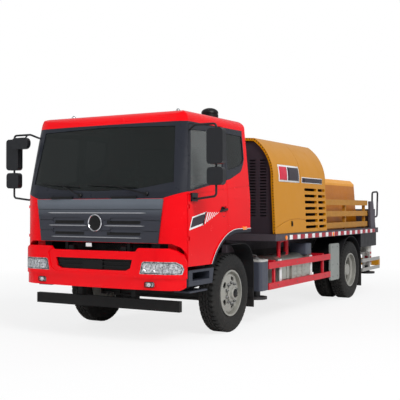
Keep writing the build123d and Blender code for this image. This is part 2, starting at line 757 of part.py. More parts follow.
UNDERRUN_X = FRONT_X + 1240
UNDERRUN_Y = 1075
UNDERRUN_Z = (390, 518)
REAR_BAR_Z = (450, 590)
REAR_BAR_Y = 1100

with BuildPart() as underrun_bars:
    block((UNDERRUN_X - 60, UNDERRUN_X), (-UNDERRUN_Y, UNDERRUN_Y), UNDERRUN_Z)
    for side in (-1, 1):
        block(
            (UNDERRUN_X - 140, UNDERRUN_X - 40),
            (side * (RAIL_Y - 60), side * RAIL_Y),
            (UNDERRUN_Z[0] + 20, RAIL_TOP - RAIL_DEPTH),
        )
    block((TAIL_X, TAIL_X + 90), (-REAR_BAR_Y, REAR_BAR_Y), REAR_BAR_Z)
    for side in (-1, 1):
        low, high = sorted((side * (RAIL_Y + 12), side * RAIL_Y))
        side_plate(
            [
                (TAIL_X + 40, REAR_BAR_Z[0]),
                (TAIL_X + 90, REAR_BAR_Z[0]),
                (RAIL_REAR_X + 170, RAIL_TOP - RAIL_DEPTH + 30),
                (RAIL_REAR_X + 170, RAIL_TOP - 40),
                (RAIL_REAR_X, RAIL_TOP - 40),
                (TAIL_X + 40, REAR_BAR_Z[1]),
            ],
            low,
            high,
        )

# ---------------------------------------------------------------- steps, guards, tanks and lockers
STEP_X = (FRONT_X + 570, FRONT_X + 1180)
STEP_Z = (690, 875)
STEP_OUT_Y = 1165

with BuildPart() as cab_steps:
    side_plate(
        [
            (STEP_X[0] + 40, STEP_Z[0]),
            (STEP_X[1], STEP_Z[0]),
            (STEP_X[1], STEP_Z[1]),
            (STEP_X[0], STEP_Z[1]),
        ],
        900,
        STEP_OUT_Y,
    )
    block(
        (STEP_X[0] + 110, STEP_X[1] - 90),
        (960, STEP_OUT_Y + 10),
        (STEP_Z[0] + 60, STEP_Z[1] - 30),
        mode=Mode.SUBTRACT,
    )
    block((STEP_X[0] + 130, STEP_X[1] - 60), (930, STEP_OUT_Y - 20), (605, 625))
    for hanger_x in (STEP_X[0] + 150, STEP_X[1] - 100):
        block((hanger_x, hanger_x + 30), (930, 950), (615, STEP_Z[0] + 10))
    block((STEP_X[1] - 180, STEP_X[1] - 100), (RAIL_Y, 910), (760, 840))
    mirror(about=Plane.XZ)

GUARD_R = 597
GUARD_WALL = 9
MUDGUARD_IN_Y = 655
GUARD_OUT_Y = CAB_Y - 60  # outer edge of the front mudguards

with BuildPart() as mudguards:
    arc_band((REAR_X, AXLE_Z), GUARD_R, GUARD_WALL, 16, 164, MUDGUARD_IN_Y, CAB_Y)
    block((REAR_X - 588, REAR_X - 576), (MUDGUARD_IN_Y, CAB_Y), (170, 680))
    for arm_x in (-430, 430):
        arm_z = AXLE_Z + (GUARD_R**2 - arm_x**2) ** 0.5 - 2
        rod((REAR_X + arm_x, RAIL_Y, arm_z - 40), (REAR_X + arm_x, MUDGUARD_IN_Y + 60, arm_z - 40), 22)
        block(
            (REAR_X + arm_x - 22, REAR_X + arm_x + 22),
            (MUDGUARD_IN_Y, MUDGUARD_IN_Y + 60),
            (arm_z - 50, arm_z + 6),
        )
    arc_band((FRONT_X - 302, 830), 300, GUARD_WALL, 90, 180, 880, GUARD_OUT_Y)
    block((FRONT_X - 304, FRONT_X + 60), (880, GUARD_OUT_Y), (1130, 1130 + GUARD_WALL))
    block((FRONT_X - 618, FRONT_X - 602), (880, GUARD_OUT_Y), (260, 840))
    block((FRONT_X - 606, FRONT_X - 590), (890, GUARD_OUT_Y - 10), (390, 520))
    rod((FRONT_X - 600, RAIL_Y, 800), (FRONT_X - 600, 900, 800), 22)
    block((FRONT_X - 600, FRONT_X - 531), (880, 910), (785, 815))
    mirror(about=Plane.XZ)

JACK_BOX_X = (FRONT_JACK_X - 130, FRONT_JACK_X + 130)
JACK_BOX_Z = (460, 890)
REAR_TUBE_Z = (500, 870)
JACK_BEAM_Z = (740, 860)

with BuildPart() as jack_tubes:
    with BuildSketch(Plane.XY.offset(JACK_BOX_Z[0])) as box_plan:
        with Locations((FRONT_JACK_X, (JACK_Y - 135 + CAB_Y) / 2)):
            RectangleRounded(JACK_BOX_X[1] - JACK_BOX_X[0], CAB_Y - JACK_Y + 135, 45)
    extrude(box_plan.sketch, amount=JACK_BOX_Z[1] - JACK_BOX_Z[0])
    block((FRONT_JACK_X - 60, FRONT_JACK_X + 60), (RAIL_Y, JACK_Y - 100), JACK_BEAM_Z)
    rod((REAR_JACK_X, JACK_Y, REAR_TUBE_Z[0]), (REAR_JACK_X, JACK_Y, REAR_TUBE_Z[1]), JACK_TUBE_R)
    block((REAR_JACK_X - 60, REAR_JACK_X + 60), (RAIL_Y, JACK_Y - 40), JACK_BEAM_Z)
    for jack_x, low in ((FRONT_JACK_X, JACK_BOX_Z[0]), (REAR_JACK_X, REAR_TUBE_Z[0])):
        rod(
            (jack_x, JACK_Y, low - 1),
            (jack_x, JACK_Y, REAR_TUBE_Z[1] - 10),
            JACK_LEG_R + RUNNING_GAP,
            mode=Mode.SUBTRACT,
        )
    mirror(about=Plane.XZ)


def jack_leg(jack_x, jack_y):
    foot = JACK_STROKE_CLEAR
    rod((jack_x, jack_y, foot + 20), (jack_x, jack_y, REAR_TUBE_Z[1] - 20), JACK_LEG_R)
    rod((jack_x, jack_y, foot), (jack_x, jack_y, foot + 36), JACK_FOOT_R)


with BuildPart() as jack_leg_fl:
    jack_leg(FRONT_JACK_X, JACK_Y)
with BuildPart() as jack_leg_rl:
    jack_leg(REAR_JACK_X, JACK_Y)
with BuildPart() as jack_leg_fr:
    mirror(jack_leg_fl.part, about=Plane.XZ)
with BuildPart() as jack_leg_rr:
    mirror(jack_leg_rl.part, about=Plane.XZ)

FUEL_X = (FRONT_X - 2730, FRONT_X - 1440)
FUEL_Y = (620, 1150)
FUEL_Z = (420, 900)
FUEL_ROUND = 150

with BuildPart() as fuel_tank:
    with BuildSketch(Plane.YZ.offset(FUEL_X[0])) as tank_section:
        with Locations(((FUEL_Y[0] + FUEL_Y[1]) / 2, (FUEL_Z[0] + FUEL_Z[1]) / 2)):
            RectangleRounded(FUEL_Y[1] - FUEL_Y[0], FUEL_Z[1] - FUEL_Z[0], FUEL_ROUND)
    extrude(tank_section.sketch, amount=FUEL_X[1] - FUEL_X[0])
    for strap_x in (FUEL_X[0] + 300, FUEL_X[1] - 300):
        with BuildSketch(Plane.YZ.offset(strap_x - 30)) as strap_section:
            with Locations(((FUEL_Y[0] + FUEL_Y[1]) / 2, (FUEL_Z[0] + FUEL_Z[1]) / 2)):
                RectangleRounded(FUEL_Y[1] - FUEL_Y[0] + 12, FUEL_Z[1] - FUEL_Z[0] + 12, FUEL_ROUND + 6)
        extrude(strap_section.sketch, amount=60)
        block((strap_x - 30, strap_x + 30), (RAIL_Y, FUEL_Y[0] + 40), (RAIL_TOP - RAIL_DEPTH + 20, 860))

LOCKER_REAR_X = (REAR_X - 1520, REAR_X - 560)

with BuildPart() as lockers:
    block(FUEL_X, (-1150, -620), (480, 900))
    block((FUEL_X[0] + 200, FUEL_X[1] - 200), (-640, -RAIL_Y), (RAIL_TOP - RAIL_DEPTH + 40, 860))
    for side in (-1, 1):
        block(LOCKER_REAR_X, (side * 720, side * CAB_Y), (JACK_BEAM_Z[1] + 20, DECK_TOP - SKIRT_DEPTH))
        block(
            (REAR_X - 1240, REAR_X - 1000),
            (side * RAIL_Y, side * 740),
            (JACK_BEAM_Z[1] + 20, RAIL_TOP - 10),
        )

SIDE_GUARD_FRONT_X = JACK_BOX_X[0] - 2
SIDE_GUARD_REAR_X = REAR_X + 1020
SIDE_GUARD_ZS = (502, 795)
SIDE_RAIL = (30, 92)  # thickness, height
END_PLATE_X = (REAR_X + 620, REAR_X + 1050)
END_PLATE_Z = (390, 1005)
REAR_GUARD_X = (TAIL_X + 330, REAR_X - 680)
REAR_GUARD_ZS = (450, 620)
REAR_GUARD_RAIL = 62  # height
REAR_GUARD_POSTS = (REAR_X - 850, REAR_X - 1200)

with BuildPart() as side_guards:
    for rail_z in SIDE_GUARD_ZS:
        block(
            (SIDE_GUARD_REAR_X - 5, SIDE_GUARD_FRONT_X),
            (CAB_Y - SIDE_RAIL[0], CAB_Y),
            (rail_z - SIDE_RAIL[1] / 2, rail_z + SIDE_RAIL[1] / 2),
        )
    for post_x in (SIDE_GUARD_FRONT_X - 250, SIDE_GUARD_REAR_X + 300):
        block((post_x - 25, post_x + 25), (CAB_Y - 60, CAB_Y - 28), (SIDE_GUARD_ZS[0] - 46, 860))
        block((post_x - 25, post_x + 25), (RAIL_Y, CAB_Y - 40), (810, 860))
    with BuildSketch(Plane.XZ.offset(-CAB_Y)) as end_plate:
        with Locations(((END_PLATE_X[0] + END_PLATE_X[1]) / 2, (END_PLATE_Z[0] + END_PLATE_Z[1]) / 2)):
            RectangleRounded(END_PLATE_X[1] - END_PLATE_X[0], END_PLATE_Z[1] - END_PLATE_Z[0], 40)
    extrude(end_plate.sketch, amount=SIDE_RAIL[0])
    for rail_z in REAR_GUARD_ZS:
        block(
            REAR_GUARD_X,
            (CAB_Y - 32, CAB_Y - 5),
            (rail_z - REAR_GUARD_RAIL / 2, rail_z + REAR_GUARD_RAIL / 2),
        )
    for post_x in REAR_GUARD_POSTS:
        block(
            (post_x - 20, post_x + 20),
            (CAB_Y - 60, CAB_Y - 30),
            (REAR_GUARD_ZS[0] - REAR_GUARD_RAIL / 2, 760),
        )
        block((post_x - 20, post_x + 20), (RAIL_Y, CAB_Y - 30), (730, 770))
    mirror(about=Plane.XZ)

# ---------------------------------------------------------------- deck
DECK_PLATE = 12
NOTCH_Y = HOPPER_RIM_WIDTH / 2 + 25  # the deck is open at its tail, round the hopper
NOTCH_X = HOPPER_X + HOPPER_RIM_LENGTH / 2 + 30
BEARER_XS = [DECK_FRONT_X - 60 - 560 * n for n in range(9)]

with BuildPart() as deck:
    block((DECK_REAR_X, DECK_FRONT_X), (-DECK_Y, DECK_Y), (DECK_TOP - SKIRT_DEPTH, DECK_TOP))
    block(
        (DECK_REAR_X + 10, DECK_FRONT_X - 10),
        (-DECK_Y + 10, DECK_Y - 10),
        (DECK_TOP - SKIRT_DEPTH - 1, DECK_TOP - DECK_PLATE),
        mode=Mode.SUBTRACT,
    )
    for bearer_x in BEARER_XS:
        block(
            (bearer_x - 30, bearer_x + 30),
            (-DECK_Y + 5, DECK_Y - 5),
            (SILL_TOP + 30, DECK_TOP - 5),
        )
    block(
        (DECK_REAR_X - 1, NOTCH_X),
        (-NOTCH_Y, NOTCH_Y),
        (DECK_TOP - SKIRT_DEPTH - 2, DECK_TOP + 1),
        mode=Mode.SUBTRACT,
    )
    for side in (-1, 1):
        block((NOTCH_X - 10, NOTCH_X + 50), (-NOTCH_Y - 5, NOTCH_Y + 5), (SILL_TOP + 10, DECK_TOP - 5))
        block(
            (NOTCH_X, DECK_FRONT_X - 40),
            (side * (RAIL_Y - RAIL_FLANGE), side * RAIL_Y),
            (RAIL_TOP, DECK_TOP - 5),
        )
    block((NOTCH_X - 60, NOTCH_X - 10), (-NOTCH_Y - 1, NOTCH_Y + 1), (SILL_TOP, DECK_TOP), mode=Mode.SUBTRACT)

RAIL_BAR = 95
DECK_RAIL_ZS = (1310, 1510, 1705)
DECK_RAIL_Y = 1150
DECK_RAIL_X = (TANK_REAR_X - 60, HOOD_REAR_X - 40)

with BuildPart() as deck_rails:
    for rail_z in DECK_RAIL_ZS:
        block(
            DECK_RAIL_X,
            (DECK_RAIL_Y - 40, DECK_RAIL_Y),
            (rail_z - RAIL_BAR / 2, rail_z + RAIL_BAR / 2),
        )
    for post_x in (DECK_RAIL_X[0] + 60, (DECK_RAIL_X[0] + DECK_RAIL_X[1]) / 2, DECK_RAIL_X[1] - 60):
        block(
            (post_x - 30, post_x + 30),
            (DECK_RAIL_Y - 80, DECK_RAIL_Y - 35),
            (DECK_TOP, DECK_RAIL_ZS[2] + RAIL_BAR / 2),
        )
    mirror(about=Plane.XZ)

POST_TOP = 1740
LOOP_X = TAIL_X + 560
LOOP_BAR_R = 17

with BuildPart() as rear_posts:
    side_plate(
        [
            (DECK_REAR_X, DECK_TOP),
            (TANK_REAR_X - 150, DECK_TOP),
            (TANK_REAR_X - 100, POST_TOP),
            (DECK_REAR_X + 150, POST_TOP),
        ],
        DECK_Y - 90,
        DECK_Y - 50,
    )
    block((DECK_REAR_X, DECK_REAR_X + 120), (NOTCH_Y + 30, DECK_Y - 60), (DECK_TOP, POST_TOP - 150))
    with BuildLine() as loop_path:
        FilletPolyline(
            (DECK_REAR_X + 90, DECK_Y - 70, 1440),
            (LOOP_X - 40, DECK_Y - 40, 1440),
            (LOOP_X - 15, DECK_Y - 20, 1930),
            (DECK_REAR_X + 150, DECK_Y - 70, 1915),
            (DECK_REAR_X + 160, DECK_Y - 70, POST_TOP - 20),
            radius=45,
        )
    with BuildSketch(Plane(origin=loop_path.line @ 0, z_dir=loop_path.line % 0)) as loop_section:
        Circle(LOOP_BAR_R)
    sweep(loop_section.sketch, path=loop_path.line)
    mirror(about=Plane.XZ)


# ---------------------------------------------------------------- pump hood
def hood_section(inset, foot_z):
    """(y, z) corners of the left wing's skin: foot, shoulder start, mid and end of the arc, hinge."""
    return [
        (HOOD_FOOT_Y - inset, foot_z),
        (HOOD_FOOT_Y - 35 - inset, HOOD_SHOULDER_Z),
        (HOOD_FOOT_Y - 130 - inset * 0.8, HOOD_TOP - 252 - inset * 0.55),
        (HOOD_FOOT_Y - 335 - inset * 0.35, HOOD_TOP - 33 - inset),
        (HOOD_ROOF_Y, HOOD_TOP - inset),
    ]


def hood_face(plane_x, inset, foot_z, close_y):
    """The half section inside the skin, closed along its foot and at close_y."""
    foot, shoulder, mid, crown, hinge = hood_section(inset, foot_z)
    with BuildSketch(Plane.YZ.offset(plane_x)) as half:
        with BuildLine():
            Line(foot, shoulder)
            ThreePointArc(shoulder, mid, crown)
            Polyline(crown, (close_y, hinge[1]), (close_y, foot_z), foot)
        make_face()
    return half.sketch


HINGE_PIN_R = 8
HINGE_EYE_R = 16
HOOD_HINGE_Y = HOOD_ROOF_Y
HOOD_HINGE_Z = HOOD_TOP + HINGE_EYE_R + 6
HOOD_HINGE_XS = [HOOD_FRONT_X - 250 - n * (HOOD_LENGTH - 500) / 2 for n in range(3)]
BULKHEAD = 30
BULKHEAD_INSET = 45  # how far the bulkhead stands inside the wings' front edges
BULKHEAD_XS = (HOOD_FRONT_X - BULKHEAD_INSET - BULKHEAD, HOOD_REAR_X + BULKHEAD_INSET)
WING_SEAT = 5
STRIP = 46
LOUVRE_ROWS = 7
LOUVRE_PITCH = 97
LOUVRE_HEIGHT = 45
LOUVRE_CORNER = 14
LOUVRE_TOP_Z = 1893  # middle of the highest row
# centre along X, length
LOUVRE_COLUMNS = ((HOOD_FRONT_X - 1415, 510), (HOOD_FRONT_X - 1888, 316))
SEAM = 7  # width and depth of the grooves between panels
SEAM_X = HOOD_FRONT_X - 1010
SEAM_ARC = ((HOOD_FRONT_X + 1, 1312), (HOOD_FRONT_X - 850, 1446), (HOOD_FRONT_X - 1880, 1205))

with BuildPart() as wing_seams:
    extrude(hood_face(HOOD_REAR_X, -1, DECK_TOP, HOOD_ROOF_Y + 100), amount=HOOD_LENGTH)
    under = hood_face(HOOD_REAR_X, SEAM, DECK_TOP - 1, HOOD_ROOF_Y + 99)
    extrude(under, amount=HOOD_LENGTH, mode=Mode.SUBTRACT)
    with BuildSketch(Plane.XZ.offset(-HOOD_FOOT_Y)) as seam_lines:
        with Locations((SEAM_X, (HOOD_SHOULDER_Z + HOOD_TOP) / 2)):
            Rectangle(SEAM, HOOD_TOP - HOOD_SHOULDER_Z)
        with BuildLine():
            upper = ThreePointArc(*SEAM_ARC)
            lower = ThreePointArc(*[(x, z - SEAM) for x, z in SEAM_ARC])
            Line(upper @ 0, lower @ 0)
            Line(upper @ 1, lower @ 1)
        make_face()
    extrude(seam_lines.sketch, amount=HOOD_FOOT_Y, both=True, mode=Mode.INTERSECT)

with BuildPart() as hood_wing_left:
    outer = hood_face(HOOD_REAR_X, 0, DECK_TOP + 5, HOOD_ROOF_Y + WING_SEAT)
    inner = hood_face(HOOD_REAR_X, HOOD_SKIN, DECK_TOP + 4, HOOD_ROOF_Y + WING_SEAT)
    extrude(outer, amount=HOOD_LENGTH)
    extrude(inner, amount=HOOD_LENGTH, mode=Mode.SUBTRACT)
    block(
        (HOOD_REAR_X - 1, HOOD_FRONT_X + 1),
        (HOOD_ROOF_Y - 1, HOOD_ROOF_Y + WING_SEAT),
        (HOOD_TOP - 60, HOOD_TOP + 1),
        mode=Mode.SUBTRACT,
    )
    add(wing_seams.part, mode=Mode.SUBTRACT)
    with BuildSketch(Plane.XZ.offset(-HOOD_FOOT_Y - 1)) as louvres:
        for column_x, length in LOUVRE_COLUMNS:
            for row in range(LOUVRE_ROWS):
                with Locations((column_x, LOUVRE_TOP_Z - row * LOUVRE_PITCH)):
                    slot = Rectangle(length, LOUVRE_HEIGHT)
                chamfer(slot.vertices(), LOUVRE_CORNER)
    extrude(louvres.sketch, amount=-100, both=True, mode=Mode.SUBTRACT)
    for hinge_x in HOOD_HINGE_XS:
        rod(
            (hinge_x - 60, HOOD_HINGE_Y, HOOD_HINGE_Z),
            (hinge_x + 60, HOOD_HINGE_Y, HOOD_HINGE_Z),
            HINGE_EYE_R,
        )
        block(
            (hinge_x - 60, hinge_x + 60),
            (HOOD_HINGE_Y, HOOD_HINGE_Y + 60),
            (HOOD_TOP - 4, HOOD_TOP + 10),
        )
        rod(
            (hinge_x - 61, HOOD_HINGE_Y, HOOD_HINGE_Z),
            (hinge_x + 61, HOOD_HINGE_Y, HOOD_HINGE_Z),
            HINGE_PIN_R + RUNNING_GAP,
            mode=Mode.SUBTRACT,
        )

with BuildPart() as hood_wing_right:
    mirror(hood_wing_left.part, about=Plane.XZ)

# vents through the front bulkhead: two columns a side
VENT_ROWS = 20
VENT_Y = 915
VENT_Z = 1895
VENT_PITCH_Y = 170
VENT_PITCH_Z = 42
VENT_WIDTH = 100
VENT_HEIGHT = 20

with BuildPart() as hood_frame:
    for bulkhead_x in BULKHEAD_XS:
        half = hood_face(bulkhead_x, HOOD_SKIN + WING_SEAT, DECK_TOP, 0)
        extrude(half, amount=BULKHEAD)
        mirror(about=Plane.XZ)
    with BuildSketch(Plane.YZ.offset(BULKHEAD_XS[0] - 1)) as vents:
        for side in (-1, 1):
            with Locations((side * VENT_Y, VENT_Z)):
                with GridLocations(VENT_PITCH_Y, VENT_PITCH_Z, 2, VENT_ROWS):
                    Rectangle(VENT_WIDTH, VENT_HEIGHT)
    extrude(vents.sketch, amount=BULKHEAD + 2, mode=Mode.SUBTRACT)
    block(
        (HOOD_REAR_X, HOOD_FRONT_X),
        (-HOOD_ROOF_Y, HOOD_ROOF_Y),
        (HOOD_TOP - STRIP - 6, HOOD_TOP - 6),
    )
    for side in (-1, 1):
        block(
            (BULKHEAD_XS[1], BULKHEAD_XS[0] + BULKHEAD),
            (side * 1080, side * 1140),
            (DECK_TOP, DECK_TOP + 60),
        )
        for hinge_x in HOOD_HINGE_XS:
            rod(
                (hinge_x - 95, side * HOOD_HINGE_Y, HOOD_HINGE_Z),
                (hinge_x + 95, side * HOOD_HINGE_Y, HOOD_HINGE_Z),
                HINGE_PIN_R,
            )
            for end in (-1, 1):
                block(
                    (hinge_x + end * 66, hinge_x + end * 95),
                    (side * (HOOD_HINGE_Y - 60), side * (HOOD_HINGE_Y + 8)),
                    (HOOD_TOP - 10, HOOD_HINGE_Z + 10),
                )
                block(
                    (hinge_x + end * 62, hinge_x + end * 99),
                    (side * HOOD_ROOF_Y, side * (HOOD_ROOF_Y + 20)),
                    (HOOD_TOP - 20, HOOD_TOP + 3),
                    mode=Mode.SUBTRACT,
                )

with BuildPart() as pump_engine:
    block((HOOD_REAR_X + 350, HOOD_FRONT_X - 450), (-420, 420), (DECK_TOP, 2250))

# ---------------------------------------------------------------- oil tank, hopper and delivery
with BuildPart() as oil_tank:
    side_plate(
        [
            (TANK_FRONT_X, DECK_TOP),
            (TANK_REAR_X - 180, DECK_TOP),
            (TANK_REAR_X, TANK_TOP - 90),
            (TANK_REAR_X, TANK_TOP),
            (TANK_FRONT_X, TANK_TOP),
        ],
        -TANK_Y,
        TANK_Y,
    )
    for edge in oil_tank.edges().filter_by(Axis.X).group_by(Axis.Z)[-1]:
        chamfer(edge, 70)

CYLINDER_Y = 150
CYLINDER_R = 78
CYLINDER_Z = 1032
CYLINDER_FRONT_X = HOOD_REAR_X - 250

with BuildPart() as pump_cylinders:
    for side in (-1, 1):
        rod(
            (HOPPER_X + HOPPER_R + 60, side * CYLINDER_Y, CYLINDER_Z),
            (CYLINDER_FRONT_X, side * CYLINDER_Y, CYLINDER_Z),
            CYLINDER_R,
        )
    for station in (HOPPER_X + HOPPER_R + 400, CYLINDER_FRONT_X - 500):
        block(
            (station - 40, station + 40),
            (-RAIL_Y + RAIL_FLANGE, RAIL_Y - RAIL_FLANGE),
            (CYLINDER_Z - CYLINDER_R, CYLINDER_Z + CYLINDER_R),
        )

FLARE_LOW = RAIL_TOP + 60  # where the hopper's walls start to lean out
SHAFT_BEARING_R = 25
OUTLET_Z = 800
GRATE_HINGE_X = HOPPER_X + HOPPER_RIM_LENGTH / 2 + 16
GRATE_HINGE_Z = HOPPER_RIM + 26
GRATE_EYE_R = 14
GRATE_PIN_R = 8
GRATE_EYE_YS = (380, 480)


def hopper_trough(wall, mode):
    """The hopper's round trough, shrunk by wall on every side."""
    radius = HOPPER_R - wall
    half_width = HOPPER_LOW_WIDTH / 2 - wall
    with BuildSketch(Plane.XZ.offset(-half_width)) as trough:
        with BuildLine():
            bottom = ThreePointArc(
                (HOPPER_X - radius, HOPPER_AXIS_Z),
                (HOPPER_X, HOPPER_AXIS_Z - radius),
                (HOPPER_X + radius, HOPPER_AXIS_Z),
            )
            Polyline(
                bottom @ 1,
                (HOPPER_X + radius + 20, FLARE_LOW),
                (HOPPER_X - radius - 20, FLARE_LOW),
                bottom @ 0,
            )
        make_face()
    extrude(trough.sketch, amount=2 * half_width, mode=mode)


def hopper_funnel(wall, mode):
    """The flared upper half, from the trough's mouth to the rim, shrunk by wall."""
    mouth = (2 * (HOPPER_R - wall + 20), HOPPER_LOW_WIDTH - 2 * wall)
    rim = (HOPPER_RIM_LENGTH - 2 * wall, HOPPER_RIM_WIDTH - 2 * wall)
    with BuildSketch(Plane.XY.offset(FLARE_LOW)) as low:
        with Locations((HOPPER_X, 0)):
            Rectangle(*mouth)
    with BuildSketch(Plane.XY.offset(HOPPER_RIM)) as top:
        with Locations((HOPPER_X, 0)):
            Rectangle(*rim)
    loft([low.sketch, top.sketch], mode=mode)


with BuildPart() as hopper:
    hopper_trough(0, Mode.ADD)
    for side in (-1, 1):
        rod(
            (HOPPER_X, side * (HOPPER_LOW_WIDTH / 2 - 2), HOPPER_AXIS_Z),
            (HOPPER_X, side * (HOPPER_LOW_WIDTH / 2 + 12), HOPPER_AXIS_Z),
            60,
        )
        block(
            (HOPPER_X - 120, HOPPER_X + 260),
            (side * (HOPPER_LOW_WIDTH / 2 - 5), side * (RAIL_Y + 40)),
            (RAIL_TOP, RAIL_TOP + 40),
        )
    hopper_trough(HOPPER_WALL, Mode.SUBTRACT)
    rod((HOPPER_X, 0, OUTLET_Z), (TAIL_X, 0, OUTLET_Z), OUTLET_BORE_R, mode=Mode.SUBTRACT)
    rod(
        (HOPPER_X, -RAIL_Y, HOPPER_AXIS_Z),
        (HOPPER_X, RAIL_Y, HOPPER_AXIS_Z),
        SHAFT_BEARING_R + RUNNING_GAP,
        mode=Mode.SUBTRACT,
    )

with BuildPart() as hopper_flare:
    hopper_funnel(0, Mode.ADD)
    hopper_funnel(HOPPER_WALL, Mode.SUBTRACT)
    for side in (-1, 1):
        pin_y = (side * (GRATE_EYE_YS[0] - 28), side * (GRATE_EYE_YS[1] + 28))
        rod((GRATE_HINGE_X, pin_y[0], GRATE_HINGE_Z), (GRATE_HINGE_X, pin_y[1], GRATE_HINGE_Z), GRATE_PIN_R)
        for lug_y in ((pin_y[0], pin_y[0] + side * 20), (pin_y[1] - side * 20, pin_y[1])):
            block(
                (HOPPER_X + HOPPER_RIM_LENGTH / 2 - 8, GRATE_HINGE_X + 14),
                lug_y,
                (HOPPER_RIM - 40, HOPPER_RIM),
            )
            block((GRATE_HINGE_X - 14, GRATE_HINGE_X + 14), lug_y, (HOPPER_RIM - 5, GRATE_HINGE_Z + 12))

with BuildPart() as agitator:
    rod(
        (HOPPER_X, -HOPPER_LOW_WIDTH / 2 - 40, HOPPER_AXIS_Z),
        (HOPPER_X, HOPPER_LOW_WIDTH / 2 + 40, HOPPER_AXIS_Z),
        SHAFT_BEARING_R,
    )
    for paddle, angle in ((-240, 0), (-80, 90), (80, 0), (240, 90)):
        tip_x = 235 * cos(radians(angle))
        tip_z = 235 * sin(radians(angle))
        rod(
            (HOPPER_X - tip_x, paddle, HOPPER_AXIS_Z - tip_z),
            (HOPPER_X + tip_x, paddle, HOPPER_AXIS_Z + tip_z),
            14,
        )
        for end in (-1, 1):
            centre = (HOPPER_X + end * tip_x, HOPPER_AXIS_Z + end * tip_z)
            block(
                (centre[0] - 30, centre[0] + 30),
                (paddle - 55, paddle + 55),
                (centre[1] - 12, centre[1] + 12),
            )

with BuildPart() as outlet_pipe:
    rod((HOPPER_X - HOPPER_R + 100, 0, OUTLET_Z), (TAIL_X + 15, 0, OUTLET_Z), OUTLET_BORE_R + 7)
    rod((TAIL_X + 50, 0, OUTLET_Z), (TAIL_X + 15, 0, OUTLET_Z), OUTLET_BORE_R + 16)
    hopper_trough(0, Mode.SUBTRACT)
    rod((HOPPER_X, 0, OUTLET_Z), (TAIL_X + 14, 0, OUTLET_Z), OUTLET_BORE_R, mode=Mode.SUBTRACT)

GRATE_BAR = 16

with BuildPart() as hopper_grate:
    grate_x = (HOPPER_X - HOPPER_RIM_LENGTH / 2 + 10, HOPPER_X + HOPPER_RIM_LENGTH / 2 - 15)
    grate_y = HOPPER_RIM_WIDTH / 2 - 70
    grate_z = (HOPPER_RIM + SEAT_GAP, HOPPER_RIM + 30)
    block(grate_x, (-grate_y - 62, grate_y + 62), grate_z)
    block(
        (grate_x[0] + 30, grate_x[1] - 50),
        (-grate_y - 30, grate_y + 30),
        (grate_z[0] - 1, grate_z[1] + 1),
        mode=Mode.SUBTRACT,
    )
    for bar in range(12):
        bar_y = -grate_y + bar * 2 * grate_y / 11
        block(
            (grate_x[0] + 20, grate_x[1] - 40),
            (bar_y - GRATE_BAR / 2, bar_y + GRATE_BAR / 2),
            (grate_z[0] + 5, grate_z[1] - 3),
        )
    for side in (-1, 1):
        eye_y = (side * GRATE_EYE_YS[0], side * GRATE_EYE_YS[1])
        rod((GRATE_HINGE_X, eye_y[0], GRATE_HINGE_Z), (GRATE_HINGE_X, eye_y[1], GRATE_HINGE_Z), GRATE_EYE_R)
        block((grate_x[1] - 10, GRATE_HINGE_X), eye_y, (GRATE_HINGE_Z - 8, GRATE_HINGE_Z + 4))
        rod(
            (GRATE_HINGE_X, side * (GRATE_EYE_YS[0] - 10), GRATE_HINGE_Z),
            (GRATE_HINGE_X, side * (GRATE_EYE_YS[1] + 10), GRATE_HINGE_Z),
            GRATE_PIN_R + RUNNING_GAP,
            mode=Mode.SUBTRACT,
        )


# ---------------------------------------------------------------- cab
def cab_plan(inset, height):
    """Plan of the cab: a bowed front with rounded corners, running past the rear wall."""
    rear = CAB_REAR_X - 500
    with BuildSketch(Plane.XY.offset(height)) as plan:
        with BuildLine():
            middle = ThreePointArc(
                (CAB_CORNER_X - inset, -CAB_CORNER_Y),
                (CAB_NOSE_X - inset, 0),
                (CAB_CORNER_X - inset, CAB_CORNER_Y),
            )
            left = ThreePointArc(
                middle @ 1,
                (CAB_CORNER_X - 52 - inset * 0.8, CAB_Y - 92 - inset * 0.6),
                (CAB_SIDE_X - inset * 0.2, CAB_Y - inset),
            )
            right = ThreePointArc(
                middle @ 0,
                (CAB_CORNER_X - 52 - inset * 0.8, -CAB_Y + 92 + inset * 0.6),
                (CAB_SIDE_X - inset * 0.2, -CAB_Y + inset),
            )
            Polyline(left @ 1, (rear, CAB_Y - inset), (rear, -CAB_Y + inset), right @ 1)
        make_face()
    return plan.sketch


